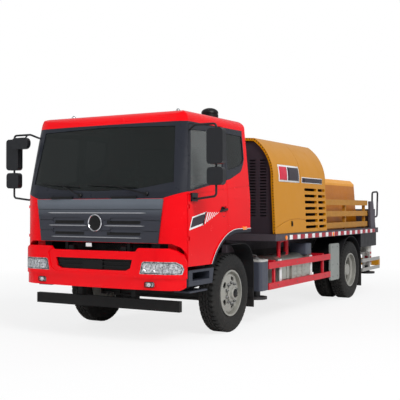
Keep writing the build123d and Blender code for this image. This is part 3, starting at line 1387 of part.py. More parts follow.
def cab_form(inset, low):
    """The cab's closed outer form, shrunk by inset on every side, above low."""
    with BuildPart(mode=Mode.PRIVATE) as form:
        extrude(cab_plan(inset, low), amount=CAB_BELT - low)
        rise = CAB_ROOF - CAB_BELT + 100
        lean = Vector(-SCREEN_LEAN, 0, 1)
        extrude(cab_plan(inset, CAB_BELT), amount=rise * lean.length, dir=lean.normalized())
        with BuildSketch(Plane.YZ.offset(CAB_REAR_X + inset)) as front_view:
            with BuildLine():
                roof = ThreePointArc(
                    (CAB_ROOF_Y - 110, CAB_ROOF_EDGE - inset),
                    (0, CAB_ROOF - inset),
                    (-CAB_ROOF_Y + 110, CAB_ROOF_EDGE - inset),
                )
                side_y = CAB_ROOF_Y - inset
                left = TangentArc(roof @ 0, (side_y, CAB_ROOF_EDGE - 125), tangent=Vector(1, -0.06))
                right = TangentArc(roof @ 1, (-side_y, CAB_ROOF_EDGE - 125), tangent=Vector(-1, -0.06))
                Polyline(
                    left @ 1,
                    (CAB_Y - inset, CAB_BELT - 60),
                    (CAB_Y - inset, low),
                    (-CAB_Y + inset, low),
                    (-CAB_Y + inset, CAB_BELT - 60),
                    right @ 1,
                )
            make_face()
        extrude(front_view.sketch, amount=2200, mode=Mode.INTERSECT)
        header_x = CAB_NOSE_X - SCREEN_LEAN * (CAB_BROW - CAB_BELT)
        with BuildSketch(Plane.XZ.offset(-CAB_Y - 10)) as side_view:
            with BuildLine():
                brow = ThreePointArc(
                    (header_x - 230, CAB_ROOF - CAB_ROOF_FALL - inset),
                    (header_x - 58 - inset * 0.7, CAB_ROOF - CAB_ROOF_FALL - 38 - inset * 0.7),
                    (header_x + 5 - inset, CAB_BROW),
                )
                Polyline(
                    brow @ 1,
                    (CAB_NOSE_X + 50, CAB_BROW - 240),
                    (CAB_NOSE_X + 50, low),
                    (CAB_REAR_X + inset, low),
                    (CAB_REAR_X + inset, CAB_ROOF_EDGE - 60 - inset),
                    (CAB_REAR_X + 60 + inset, CAB_ROOF - inset + 1),
                    (header_x - 800, CAB_ROOF - inset + 1),
                    brow @ 0,
                )
            make_face()
        extrude(side_view.sketch, amount=CAB_WIDTH + 20, mode=Mode.INTERSECT)
    return form.part


def door_outline(grow):
    """(x, z) corners of the door, enlarged by grow."""
    return [
        (DOOR_FRONT_X + grow, CAB_SILL - grow),
        (DOOR_FRONT_X + grow, CAB_BELT - 20),
        (DOOR_FRONT_X - 105 + grow, DOOR_TOP - 230),
        (DOOR_FRONT_X - 148 + grow, DOOR_TOP - DOOR_TOP_FALL + grow),
        (DOOR_REAR_X - grow, DOOR_TOP + grow),
        (DOOR_REAR_X - grow, CAB_SILL - grow),
    ]


ARCH_CLEAR = ARCH_R + 12


def arch_area(radius, mode=Mode.ADD):
    """The wheel arch from the side: round over the front of the tyre, level behind it."""
    with Locations((ARCH_X, ARCH_Z)):
        Circle(radius, mode=mode)
    with Locations(((ARCH_X + CAB_REAR_X - 200) / 2, ARCH_Z)):
        Rectangle(ARCH_X - CAB_REAR_X + 200, 2 * radius, mode=mode)


def arch_strip(inner_r, outer_r, y_low, y_high):
    """A strip that follows the wheel arch, above the sill and forward of the cab's rear."""
    reach = ARCH_X + 2 * ARCH_R
    with BuildSketch(Plane.XZ.offset(-y_high)) as strip:
        arch_area(outer_r)
        arch_area(inner_r, mode=Mode.SUBTRACT)
        with Locations(((CAB_REAR_X + reach) / 2, CAB_SILL + ARCH_R)):
            Rectangle(reach - CAB_REAR_X, 2 * ARCH_R, mode=Mode.INTERSECT)
    extrude(strip.sketch, amount=y_high - y_low)


def arch_cut(radius):
    """Cuts the wheel arch right through the cab."""
    with BuildSketch(Plane.XZ.offset(-CAB_Y - 50)) as arch:
        arch_area(radius)
    extrude(arch.sketch, amount=CAB_WIDTH + 100, mode=Mode.SUBTRACT)


WINDOW_TOP = DOOR_TOP - 70
WINDOW = [
    (DOOR_FRONT_X - 62, CAB_BELT + 25),
    (DOOR_FRONT_X - 182, WINDOW_TOP - DOOR_TOP_FALL + 8),
    (DOOR_REAR_X + 70, WINDOW_TOP),
    (DOOR_REAR_X + 70, CAB_BELT + 195),
]
QUARTER = [
    (DOOR_REAR_X - 60, WINDOW_TOP),
    (CAB_REAR_X + 110, WINDOW_TOP - 8),
    (CAB_REAR_X + 105, WINDOW_TOP - 280),
    (CAB_REAR_X + 120, WINDOW_TOP - 330),
    (CAB_REAR_X + 165, WINDOW_TOP - 372),
    (CAB_REAR_X + 280, WINDOW_TOP - 415),
    (DOOR_REAR_X - 60, WINDOW_TOP - 478),
]
SCREEN = [
    (-CAB_Y + 150, CAB_BELT + 115),
    (-CAB_Y / 2, CAB_BELT + 40),
    (0, CAB_BELT + 15),
    (CAB_Y / 2, CAB_BELT + 40),
    (CAB_Y - 150, CAB_BELT + 115),
    (CAB_Y - 215, CAB_BROW - 50),
    (0, CAB_BROW - 25),
    (-CAB_Y + 215, CAB_BROW - 50),
]
REAR_PANE = [(-560, CAB_BELT + 260), (560, CAB_BELT + 260), (560, CAB_BROW - 190), (-560, CAB_BROW - 190)]
GLASS_SEAT = 10  # how far glass stands below the skin
GLASS = 8
WELL_X = (FRONT_X + 690, FRONT_X + 1180)

ARCH_LIP = 55
LIP_PROUD = 12
BELT_GROOVE = [
    (DOOR_FRONT_X + 20, CAB_BELT - 38),
    (CAB_REAR_X - 10, CAB_BELT + 110),
    (CAB_REAR_X - 10, CAB_BELT + 118),
    (DOOR_FRONT_X + 20, CAB_BELT - 30),
]
BELT_GROOVE_DEPTH = 6
HANDLE_POCKET = (FRONT_X + 300, FRONT_X + 450, 1558, 1622)
HANDLE_DEPTH = 14

with BuildPart() as belt_groove:
    add(cab_form(-1, CAB_SILL))
    add(cab_form(BELT_GROOVE_DEPTH, CAB_SILL), mode=Mode.SUBTRACT)
    side_plate(BELT_GROOVE, -CAB_Y - 10, CAB_Y + 10, mode=Mode.INTERSECT)

# the cab's outside with what crosses its door seams: wheel-arch lips, belt groove and handle pockets
with BuildPart() as cab_outside:
    add(cab_form(0, CAB_SILL))
    arch_strip(ARCH_R - 30, ARCH_R + ARCH_LIP, CAB_Y - 2, CAB_Y + LIP_PROUD)
    arch_strip(ARCH_R - 30, ARCH_R + ARCH_LIP, -CAB_Y - LIP_PROUD, -CAB_Y + 2)
    add(belt_groove.part, mode=Mode.SUBTRACT)
    for side in (-1, 1):
        block(
            HANDLE_POCKET[:2],
            (side * (CAB_Y - HANDLE_DEPTH), side * (CAB_Y + 1)),
            HANDLE_POCKET[2:],
            mode=Mode.SUBTRACT,
        )

outer_form = cab_outside.part
inner_form = cab_form(CAB_WALL, CAB_FLOOR + 40)
outer_full = cab_form(GLASS_SEAT, CAB_SILL)
inner_full = cab_form(GLASS_SEAT + GLASS, CAB_SILL)


with BuildPart() as cab_shell:
    add(outer_form)
    add(inner_form, mode=Mode.SUBTRACT)
    block(
        (CAB_REAR_X - 10, FRONT_X + 1335),
        (-820, 820),
        (CAB_SILL - 1, CAB_FLOOR),
        mode=Mode.SUBTRACT,
    )
    front_plate(
        [
            (-CAB_Y - 10, CAB_SILL - 1),
            (CAB_Y + 10, CAB_SILL - 1),
            (CAB_Y + 10, 1005),
            (CAB_Y - 18, CAB_LOW - 105),
            (CAB_Y - 70, CAB_LOW - 40),
            (CAB_Y - 160, CAB_LOW),
            (-CAB_Y + 160, CAB_LOW),
            (-CAB_Y + 70, CAB_LOW - 40),
            (-CAB_Y + 18, CAB_LOW - 105),
            (-CAB_Y - 10, 1005),
        ],
        CAB_SIDE_X + 10,
        CAB_NOSE_X + 10,
        mode=Mode.SUBTRACT,
    )
    arch_cut(ARCH_R)
    for side in (-1, 1):
        block(
            WELL_X,
            (side * 860, side * (CAB_Y - CAB_WALL + 1)),
            (CAB_SILL + 40, CAB_FLOOR + 60),
            mode=Mode.SUBTRACT,
        )
        side_plate(
            door_outline(DOOR_GAP),
            min(side * (CAB_Y - 150), side * (CAB_Y + 20)),
            max(side * (CAB_Y - 150), side * (CAB_Y + 20)),
            mode=Mode.SUBTRACT,
        )
        side_plate(
            QUARTER,
            min(side * (CAB_Y - 200), side * (CAB_Y + 10)),
            max(side * (CAB_Y - 200), side * (CAB_Y + 10)),
            mode=Mode.SUBTRACT,
        )
        block(
            (CAB_PIVOT_X - 35, CAB_PIVOT_X + 30),
            (side * (RAIL_Y + 14), side * (RAIL_Y + 56)),
            (CAB_PIVOT_Z - 35, CAB_FLOOR + 40),
        )
        rod(
            (CAB_PIVOT_X, side * (RAIL_Y + 10), CAB_PIVOT_Z),
            (CAB_PIVOT_X, side * (RAIL_Y + 60), CAB_PIVOT_Z),
            PIVOT_PIN_R + RUNNING_GAP,
            mode=Mode.SUBTRACT,
        )
        for hinge_z in DOOR_HINGE_ZS:
            pin = (DOOR_FRONT_X - DOOR_HINGE_INSET, side * (CAB_Y - DOOR_HINGE_INSET))
            rod((*pin, hinge_z - 60), (*pin, hinge_z + 60), DOOR_PIN_R)
            block(
                (pin[0] - 5, DOOR_FRONT_X + DOOR_GAP + 10),
                (side * (CAB_Y - DOOR_HINGE_INSET - 14), side * (CAB_Y - DOOR_HINGE_INSET + 4)),
                (hinge_z - 18, hinge_z + 18),
            )
    front_plate(SCREEN, FRONT_X + 900, CAB_NOSE_X + 50, mode=Mode.SUBTRACT)
    front_plate(REAR_PANE, CAB_REAR_X - 10, CAB_REAR_X + 100, mode=Mode.SUBTRACT)

with BuildPart() as panes:
    front_plate(outset_points(SCREEN, SEAT_GAP), FRONT_X + 900, CAB_NOSE_X + 50)
    front_plate(outset_points(REAR_PANE, SEAT_GAP), CAB_REAR_X - 10, CAB_REAR_X + 100)
    for side in (-1, 1):
        side_plate(
            outset_points(QUARTER, SEAT_GAP),
            min(side * (CAB_Y - 200), side * (CAB_Y + 10)),
            max(side * (CAB_Y - 200), side * (CAB_Y + 10)),
        )

with BuildPart() as cab_glass:
    add(outer_full)
    add(inner_full, mode=Mode.SUBTRACT)
    add(panes.part, mode=Mode.INTERSECT)

with BuildPart() as door_left:
    add(outer_form)
    add(cab_form(CAB_WALL, CAB_SILL), mode=Mode.SUBTRACT)
    side_plate(door_outline(0), CAB_Y - 138, CAB_Y + 20, mode=Mode.INTERSECT)
    arch_cut(ARCH_CLEAR)
    side_plate(WINDOW, CAB_Y - 200, CAB_Y + 10, mode=Mode.SUBTRACT)
    for hinge_z in DOOR_HINGE_ZS:
        pin = (DOOR_FRONT_X - DOOR_HINGE_INSET, CAB_Y - DOOR_HINGE_INSET)
        block(
            (pin[0] - 24, DOOR_FRONT_X + 1),
            (CAB_Y - 60, CAB_Y + 1),
            (hinge_z - 23, hinge_z + 23),
            mode=Mode.SUBTRACT,
        )
        rod((*pin, hinge_z - 62), (*pin, hinge_z + 62), DOOR_PIN_R + RUNNING_GAP, mode=Mode.SUBTRACT)

with BuildPart() as door_right:
    mirror(door_left.part, about=Plane.XZ)

with BuildPart() as door_glass_left:
    add(outer_full)
    add(inner_full, mode=Mode.SUBTRACT)
    side_plate(outset_points(WINDOW, SEAT_GAP), CAB_Y - 200, CAB_Y + 10, mode=Mode.INTERSECT)

with BuildPart() as door_glass_right:
    mirror(door_glass_left.part, about=Plane.XZ)

GRILLE_PROUD = 16
GRILLE_LOW_Y = CAB_Y - 325
GRILLE_TOP_Y = CAB_Y - 255
GRILLE_OUTLINE = [(-GRILLE_LOW_Y, 1195), (GRILLE_LOW_Y, 1195), (GRILLE_TOP_Y, 1712), (-GRILLE_TOP_Y, 1712)]
GRILLE_GROOVE = 10  # depth
GRILLE_GROOVE_ZS = (1585, 1458, 1330)
AIR_INLET_ZS = GRILLE_GROOVE_ZS[1:]
AIR_INLET = (-445, 445, 470, 62)  # centres across the truck, length, height
EMBLEM_Z = 1425
EMBLEM_R = 105

with BuildPart() as grille_recesses:
    add(cab_form(-GRILLE_PROUD - 1, CAB_SILL))
    add(cab_form(GRILLE_GROOVE - GRILLE_PROUD, CAB_SILL), mode=Mode.SUBTRACT)
    with BuildSketch(Plane.YZ.offset(FRONT_X + 1200)) as recess_outlines:
        for groove_z in GRILLE_GROOVE_ZS:
            with Locations((0, groove_z)):
                Rectangle(CAB_WIDTH, 12)
        for inlet_z in AIR_INLET_ZS:
            for inlet_y in AIR_INLET[:2]:
                with Locations((inlet_y, inlet_z)):
                    SlotOverall(AIR_INLET[2], AIR_INLET[3])
        with Locations((0, EMBLEM_Z)):
            Circle(EMBLEM_R + 20, mode=Mode.SUBTRACT)
    extrude(recess_outlines.sketch, amount=CAB_NOSE_X + 50 - FRONT_X - 1200, mode=Mode.INTERSECT)

with BuildPart() as grille_panel:
    add(cab_form(-GRILLE_PROUD, CAB_SILL))
    add(outer_form, mode=Mode.SUBTRACT)
    front_plate(GRILLE_OUTLINE, FRONT_X + 1200, CAB_NOSE_X + 50, mode=Mode.INTERSECT)
    add(grille_recesses.part, mode=Mode.SUBTRACT)
    rod((CAB_NOSE_X + 10, 0, EMBLEM_Z), (CAB_NOSE_X + 28, 0, EMBLEM_Z), EMBLEM_R)

# ---------------------------------------------------------------- cab fittings
LINER_WALL = 14

with BuildPart() as arch_liners:
    arch_strip(ARCH_R - LINER_WALL, ARCH_R - SEAT_GAP, CAB_Y - 372, CAB_Y - 12)
    mirror(about=Plane.XZ)

ROOF_LAMP_X = FRONT_X + 830
ROOF_LAMP_Y = 810
DOME_X = FRONT_X - 80
DOME_Y = 750
DOME_R = 115
DOME_EDGE_Z = CAB_ROOF + 70

with BuildPart() as roof_lamps:
    for side in (-1, 1):
        block(
            (ROOF_LAMP_X - 32, ROOF_LAMP_X + 32),
            (side * (ROOF_LAMP_Y - 75), side * (ROOF_LAMP_Y + 75)),
            (CAB_ROOF - 60, CAB_ROOF + 28),
        )
    with Locations((DOME_X, DOME_Y, DOME_EDGE_Z)):
        Cylinder(DOME_R, 140, align=(Align.CENTER, Align.CENTER, Align.MAX))
        Sphere(DOME_R / 0.857, arc_size1=31, align=(Align.CENTER, Align.CENTER, Align.MIN))
    add(outer_form, mode=Mode.SUBTRACT)

with BuildPart() as cab_interior:
    block((FRONT_X + 980, FRONT_X + 1290), (-1000, 1000), (1420, 1790))
    block((FRONT_X - 300, FRONT_X + 980), (-330, 330), (CAB_FLOOR + 40, 1500))
    rod((FRONT_X + 1000, 560, 1640), (FRONT_X + 820, 560, 1850), 25)
    steering_plane = Plane(origin=(FRONT_X + 815, 560, 1856), z_dir=(-0.65, 0, 0.76))
    with Locations(steering_plane):
        Torus(215, 16)
    for spoke in (0, 60, 120):
        step = steering_plane.rotated((0, 0, spoke))
        with Locations(step):
            Box(420, 24, 12)

SEAT_YS = (-620, 620)
with BuildPart() as seats:
    for seat_y in SEAT_YS:
        block((FRONT_X + 60, FRONT_X + 560), (seat_y - 250, seat_y + 250), (CAB_FLOOR + 40, 1700))
        side_plate(
            [
                (FRONT_X - 60, 1560),
                (FRONT_X + 90, 1560),
                (FRONT_X, 2180),
                (FRONT_X - 130, 2180),
            ],
            seat_y - 240,
            seat_y + 240,
        )

# ---------------------------------------------------------------- mirrors
MIRROR_Y = (CAB_Y + 226, CAB_Y + 435)
MIRROR_X = FRONT_X + 1180
MIRROR_ROUND = 45
# lower and upper edge, half depth
MIRROR_HOUSINGS = ((2105, 2515, 45), (1865, 2070, 40))
STAY_R = 13
STAY_Y = CAB_Y + 330  # the upright run of the stay, which holds both housings
STAY_TOP = DOOR_TOP - 62
LOOK_DOWN_X = FRONT_X + 1290
LOOK_DOWN_Y = -CAB_Y - 145
LOOK_DOWN_Z = CAB_BROW - 170
LOOK_DOWN_SIZE = (290, 150)
LOOK_DOWN_DEPTH = 60


def rounded_box(x_low, x_high, centre_y, centre_z, width, height, radius):
    """A box whose outline from the front has round corners."""
    with BuildSketch(Plane.YZ.offset(x_low)) as outline:
        with Locations((centre_y, centre_z)):
            RectangleRounded(width, height, radius)
    extrude(outline.sketch, amount=x_high - x_low)


def bent_tube(points, radius, bend):
    """A round tube along straight runs joined by bends."""
    with BuildLine() as path:
        FilletPolyline(*points, radius=bend)
    with BuildSketch(Plane(origin=path.line @ 0, z_dir=path.line % 0)) as section:
        Circle(radius)
    sweep(section.sketch, path=path.line)


with BuildPart() as mirror_left:
    for low, high, half_depth in MIRROR_HOUSINGS:
        rounded_box(
            MIRROR_X - half_depth, MIRROR_X + half_depth,
            (MIRROR_Y[0] + MIRROR_Y[1]) / 2, (low + high) / 2,
            MIRROR_Y[1] - MIRROR_Y[0], high - low, MIRROR_ROUND,
        )
    bent_tube(
        (
            (DOOR_FRONT_X - 125, CAB_Y - 55, DOOR_TOP - 110),
            (MIRROR_X, CAB_Y + 50, STAY_TOP),
            (MIRROR_X, STAY_Y, STAY_TOP),
            (MIRROR_X, STAY_Y, CAB_BELT - 50),
            (MIRROR_X - 10, CAB_Y + 80, CAB_BELT - 80),
            (DOOR_FRONT_X - 110, CAB_Y - 10, CAB_BELT - 70),
        ),
        STAY_R,
        40,
    )
    block((DOOR_FRONT_X - 180, DOOR_FRONT_X - 50), (CAB_Y - 20, CAB_Y + 24), (CAB_BELT - 110, CAB_BELT - 10))
    add(door_left.part, mode=Mode.SUBTRACT)
    add(door_glass_left.part, mode=Mode.SUBTRACT)

with BuildPart() as mirror_right:
    mirror(mirror_left.part, about=Plane.XZ)

# the look-down mirror stands in front of the right stay's upper run
with BuildPart() as front_mirror:
    rounded_box(
        LOOK_DOWN_X - LOOK_DOWN_DEPTH, LOOK_DOWN_X,
        LOOK_DOWN_Y, LOOK_DOWN_Z,
        *LOOK_DOWN_SIZE, LOOK_DOWN_SIZE[1] / 2 - 5,
    )
    rod((LOOK_DOWN_X - 30, LOOK_DOWN_Y, LOOK_DOWN_Z), (MIRROR_X, -CAB_Y - 97, STAY_TOP), STAY_R - 3)
    add(mirror_right.part, mode=Mode.SUBTRACT)

# ---------------------------------------------------------------- write the pieces
PIECES = {
    "frame_rails": frame_rails,
    "frame_crossmembers": frame_crossmembers,
    "cab_mounts": cab_mounts,
    "leaf_springs": leaf_springs,
    "front_axle": front_axle,
    "rear_axle": rear_axle,
    "drive_train": drive_train,
    "tyre_fl": tyre_fl,
    "tyre_fr": tyre_fr,
    "tyre_rl": tyre_rl,
    "tyre_rr": tyre_rr,
    "rim_fl": rim_fl,
    "rim_fr": rim_fr,
    "rim_rl": rim_rl,
    "rim_rr": rim_rr,
    "knuckle_left": knuckle_left,
    "knuckle_right": knuckle_right,
    "tie_rod": tie_rod,
    "front_bumper": front_bumper,
    "head_lamps": head_lamps,
    "underrun_bars": underrun_bars,
    "cab_steps": cab_steps,
    "mudguards": mudguards,
    "jack_tubes": jack_tubes,
    "jack_leg_fl": jack_leg_fl,
    "jack_leg_fr": jack_leg_fr,
    "jack_leg_rl": jack_leg_rl,
    "jack_leg_rr": jack_leg_rr,
    "fuel_tank": fuel_tank,
    "lockers": lockers,
    "side_guards": side_guards,
    "deck": deck,
    "deck_rails": deck_rails,
    "rear_posts": rear_posts,
    "hood_wing_left": hood_wing_left,
    "hood_wing_right": hood_wing_right,
    "hood_frame": hood_frame,
    "pump_engine": pump_engine,
    "oil_tank": oil_tank,
    "pump_cylinders": pump_cylinders,
    "hopper": hopper,
    "hopper_flare": hopper_flare,
    "agitator": agitator,
    "outlet_pipe": outlet_pipe,
    "hopper_grate": hopper_grate,
    "cab_shell": cab_shell,
    "cab_glass": cab_glass,
    "grille_panel": grille_panel,
    "cab_interior": cab_interior,
    "seats": seats,
    "door_left": door_left,
    "door_right": door_right,
    "door_glass_left": door_glass_left,
    "door_glass_right": door_glass_right,
    "mirror_left": mirror_left,
    "mirror_right": mirror_right,
    "front_mirror": front_mirror,
    "arch_liners": arch_liners,
    "roof_lamps": roof_lamps,
    "bumper_insert": bumper_insert,
}
os.makedirs("parts", exist_ok=True)
for name, piece in PIECES.items():
    piece.part.label = name
    export_step(piece.part, f"parts/{name}.step")
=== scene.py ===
import json
from math import cos, pi, radians, sin, sqrt

import bmesh
import bpy
from mathutils import Matrix, Vector


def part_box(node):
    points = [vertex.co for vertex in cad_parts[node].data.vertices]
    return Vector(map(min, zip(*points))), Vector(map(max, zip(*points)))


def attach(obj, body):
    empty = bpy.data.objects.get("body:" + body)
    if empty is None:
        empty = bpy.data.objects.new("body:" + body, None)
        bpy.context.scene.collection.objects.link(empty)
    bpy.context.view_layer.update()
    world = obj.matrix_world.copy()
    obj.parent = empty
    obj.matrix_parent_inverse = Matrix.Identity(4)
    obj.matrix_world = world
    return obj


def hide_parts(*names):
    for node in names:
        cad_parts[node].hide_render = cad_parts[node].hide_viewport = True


# Truck-mounted concrete line pump: materials, lamps, tread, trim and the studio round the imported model.

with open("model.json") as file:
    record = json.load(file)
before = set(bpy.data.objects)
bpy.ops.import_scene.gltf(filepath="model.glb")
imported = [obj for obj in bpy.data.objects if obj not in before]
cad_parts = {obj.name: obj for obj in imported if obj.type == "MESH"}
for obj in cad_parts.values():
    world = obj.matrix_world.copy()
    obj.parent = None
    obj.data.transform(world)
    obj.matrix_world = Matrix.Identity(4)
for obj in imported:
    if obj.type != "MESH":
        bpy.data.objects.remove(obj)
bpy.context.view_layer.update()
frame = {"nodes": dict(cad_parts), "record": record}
NODES = frame["nodes"]


def low(node):
    return Vector(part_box(node)[0])


def high(node):
    return Vector(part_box(node)[1])


def middle(node):
    return (low(node) + high(node)) / 2


FX = middle("tyre_fl").x  # front axle
RX = middle("tyre_rl").x  # rear axle
AXLE_Z = middle("tyre_fl").z
TYRE_R = high("tyre_fl").z - AXLE_Z
CAB_Y = high("front_bumper").y
DECK_Y = high("deck").y
DECK_TOP = high("deck").z


# ---------------------------------------------------------------- colours and materials
def srgb(red, green, blue):
    """A display colour, 0 to 255 a channel, as the linear colour that the shaders take."""
    return (*[c / 3294.6 if c <= 10 else ((c / 255 + 0.055) / 1.055) ** 2.4 for c in (red, green, blue)], 1.0)


def scaled(colour, factor):
    return (*[min(1.0, c * factor) for c in colour[:3]], 1.0)


def feed(tree, socket, value):
    """Links a socket, or sets its constant."""
    if isinstance(value, bpy.types.NodeSocket):
        tree.links.new(value, socket)
    else:
        socket.default_value = value


def node_of(tree, kind, **inputs):
    """A shader node with its inputs set; an input given as a socket is linked."""
    node = tree.nodes.new(kind)
    for name, value in inputs.items():
        feed(tree, node.inputs[name.replace("_", " ")], value)
    return node


def maths(tree, operation, *values):
    node = tree.nodes.new("ShaderNodeMath")
    node.operation = operation
    for socket, value in zip(node.inputs, values):
        feed(tree, socket, value)
    return node.outputs[0]


def mixed(tree, factor, first, second):
    """A colour between first and second."""
    node = tree.nodes.new("ShaderNodeMix")
    node.data_type = "RGBA"
    for socket, value in zip((node.inputs[0], node.inputs[6], node.inputs[7]), (factor, first, second)):
        feed(tree, socket, value)
    return node.outputs[2]


def ranged(tree, value, low_in, high_in, low_out, high_out):
    node = node_of(tree, "ShaderNodeMapRange", Value=value, From_Min=low_in, From_Max=high_in)
    node.inputs["To Min"].default_value = low_out
    node.inputs["To Max"].default_value = high_out
    return node.outputs[0]


def noise(tree, coordinate, scale, detail=3.0):
    return node_of(tree, "ShaderNodeTexNoise", Vector=coordinate, Scale=scale, Detail=detail).outputs["Fac"]


def both(tree, *masks):
    """1 where every mask is 1."""
    result = masks[0]
    for mask in masks[1:]:
        result = maths(tree, "MULTIPLY", result, mask)
    return result


def above(tree, value, limit):
    return maths(tree, "GREATER_THAN", value, limit)


def below(tree, value, limit):
    return maths(tree, "LESS_THAN", value, limit)


def excess(tree, value, limit):
    """How far value is over limit, and 0 where it isn't."""
    return maths(tree, "MAXIMUM", maths(tree, "SUBTRACT", value, limit), 0.0)


MATERIALS = {}  # by slot or name


def finish(
    name, colour, roughness, metallic=0.0, coat=0.0, shine=0.35, mottle=0.08, mottle_size=0.5,
    grain=0.0, grain_size=0.004, dust=0.0, dust_top=1.0, layers=(),
):
    """A painted, moulded or bare surface: uneven colour and gloss, a fine grain, and road dust low down.

    layers holds (mask, colour, roughness): where mask(tree, x, y, z) is 1, that colour and gloss take over.
    x is measured from the front axle, y is the distance from the truck's middle, z the height.
    """
    material = bpy.data.materials.new(name)
    material.use_nodes = True
    tree = material.node_tree
    shader = tree.nodes["Principled BSDF"]
    coordinate = tree.nodes.new("ShaderNodeTexCoord").outputs["Object"]
    x, y, z = node_of(tree, "ShaderNodeSeparateXYZ", Vector=coordinate).outputs
    x = maths(tree, "SUBTRACT", x, FX)
    y = maths(tree, "ABSOLUTE", y)
    tint = colour
    rough = roughness
    for mask, layer_colour, layer_rough in layers:
        factor = mask(tree, x, y, z)
        tint = mixed(tree, factor, tint, layer_colour)
        rough = maths(tree, "ADD", rough, maths(tree, "MULTIPLY", factor, layer_rough - roughness))
    cloud = ranged(tree, noise(tree, coordinate, 1 / mottle_size), 0.3, 0.7, 1 - mottle, 1 + mottle)
    shade = tree.nodes.new("ShaderNodeVectorMath")
    shade.operation = "SCALE"
    feed(tree, shade.inputs[0], tint[:3] if isinstance(tint, tuple) else tint)
    feed(tree, shade.inputs["Scale"], cloud)
    tint = shade.outputs[0]
    gloss = ranged(tree, noise(tree, coordinate, 5 / mottle_size, 5.0), 0.3, 0.7, 0.85, 1.15)
    rough = maths(tree, "MULTIPLY", rough, gloss)
    if dust:
        height = ranged(tree, z, dust_top, 0.1, 0.0, dust)
        speckle = ranged(tree, noise(tree, coordinate, 9.0, 6.0), 0.35, 0.65, 0.35, 1.0)
        film = maths(tree, "MULTIPLY", height, speckle)
        tint = mixed(tree, film, tint, srgb(128, 120, 108))
        rough = maths(tree, "ADD", rough, maths(tree, "MULTIPLY", film, 0.4))
    feed(tree, shader.inputs["Base Color"], tint)
    feed(tree, shader.inputs["Roughness"], rough)
    shader.inputs["Metallic"].default_value = metallic
    shader.inputs["Coat Weight"].default_value = coat
    shader.inputs["Coat Roughness"].default_value = 0.06
    shader.inputs["Specular IOR Level"].default_value = shine
    if grain:
        fine = noise(tree, coordinate, 1 / grain_size, 2.0)
        bump = node_of(tree, "ShaderNodeBump", Height=fine, Strength=grain, Distance=0.002)
        feed(tree, shader.inputs["Normal"], bump.outputs[0])
    MATERIALS[name] = material
    return material


def glazing(name, colour, alpha, roughness=0.03):
    """Tinted glass: thin panes that darken and reflect."""
    material = bpy.data.materials.new(name)
    material.use_nodes = True
    tree = material.node_tree
    shader = tree.nodes["Principled BSDF"]
    coordinate = tree.nodes.new("ShaderNodeTexCoord").outputs["Object"]
    tint = mixed(tree, noise(tree, coordinate, 1.5), scaled(colour, 0.8), scaled(colour, 1.2))
    feed(tree, shader.inputs["Base Color"], tint)
    smear = ranged(tree, noise(tree, coordinate, 4.0, 5.0), 0.3, 0.7, roughness, roughness * 1.6)
    feed(tree, shader.inputs["Roughness"], smear)
    shader.inputs["Alpha"].default_value = alpha
    shader.inputs["IOR"].default_value = 1.45
    shader.inputs["Specular IOR Level"].default_value = 0.3
    MATERIALS[name] = material
    return material


def arch_distance(tree, x, z):
    """Distance from the wheel arch's middle: round it ahead of the axle, and by height alone behind."""
    forward = excess(tree, x, -0.02)
    up = maths(tree, "SUBTRACT", z, 0.5)
    squares = maths(tree, "ADD", maths(tree, "MULTIPLY", forward, forward), maths(tree, "MULTIPLY", up, up))
    return maths(tree, "SQRT", squares)


def dark_trim(tree, x, y, z):
    """The cab's dark band: cowl, screen pillars and window surrounds, down to the rising belt line."""
    line = maths(tree, "MULTIPLY_ADD", excess(tree, y, 0.93), 0.3, 1.715)
    line = maths(tree, "MULTIPLY_ADD", excess(tree, 1.2, x), 0.175, line)
    line = maths(tree, "MULTIPLY_ADD", excess(tree, 0.16, x), 0.16, line)
    drop = excess(tree, -0.13, x)
    line = maths(tree, "MULTIPLY_ADD", maths(tree, "MULTIPLY", drop, drop), 5.6, line)
    return both(tree, above(tree, z, line), below(tree, z, 2.627), above(tree, x, -0.29))


def nose_gap_shade(tree, x, y, z):
    """Painted shade: the opening between the grille and the bumper, coloured near black where it lies in
    shadow.
    """
    return both(tree, below(tree, z, 1.19), above(tree, x, 0.95), below(tree, y, 0.93))


def lip_trim(tree, x, y, z):
    """The dark edge of the wheel arch."""
    near = below(tree, arch_distance(tree, x, z), 0.832)
    return both(tree, near, above(tree, y, 1.19), below(tree, z, 1.5))


def lip_highlight(tree, x, y, z):
    """Painted highlight: a thin pale line just outside the dark lip, where its edge catches the light."""
    distance = arch_distance(tree, x, z)
    return both(tree, above(tree, distance, 0.832), below(tree, distance, 0.842), above(tree, y, 1.19))


def end_plate(tree, x, y, z):
    return both(tree, below(tree, x, -3.45), above(tree, x, -3.88), above(tree, y, 1.165))


def grille_shade(tree, x, y, z):
    """Painted shade on the grille's face, darker from its top edge down."""
    return ranged(tree, z, 1.66, 1.5, 0.0, 1.0)


def inlet_slot_shade(tree, x, y, z):
    """Painted shade: the dark air slots above the two lower bright strips, drawn as near-black bands on the
    grille's face.
    """
    rows = maths(tree, "ADD", slot_row(tree, z, 1.432, 0.020), slot_row(tree, z, 1.296, 0.018))
    return both(tree, rows, above(tree, y, 0.17), below(tree, y, 0.64))


def slot_row(tree, z, height, half):
    return below(tree, maths(tree, "ABSOLUTE", maths(tree, "SUBTRACT", z, height)), half)


def behind_axle(tree, x, y, z):
    return below(tree, x, RX - FX - 0.3)


def hood_roof(tree, x, y, z):
    return above(tree, z, high("hood_frame").z - 0.09)


def box_top_highlight(tree, x, y, z):
    """Painted highlight: the rear tank's top edge, made lighter."""
    return above(tree, z, high("oil_tank").z - 0.11)


def jack_cap(tree, x, y, z):
    return both(tree, above(tree, z, 0.862), above(tree, x, -2.0))


def rear_tube(tree, x, y, z):
    return both(tree, below(tree, x, -4.0), above(tree, y, 0.96))


def post_loop(tree, x, y, z):
    return above(tree, z, 1.742)


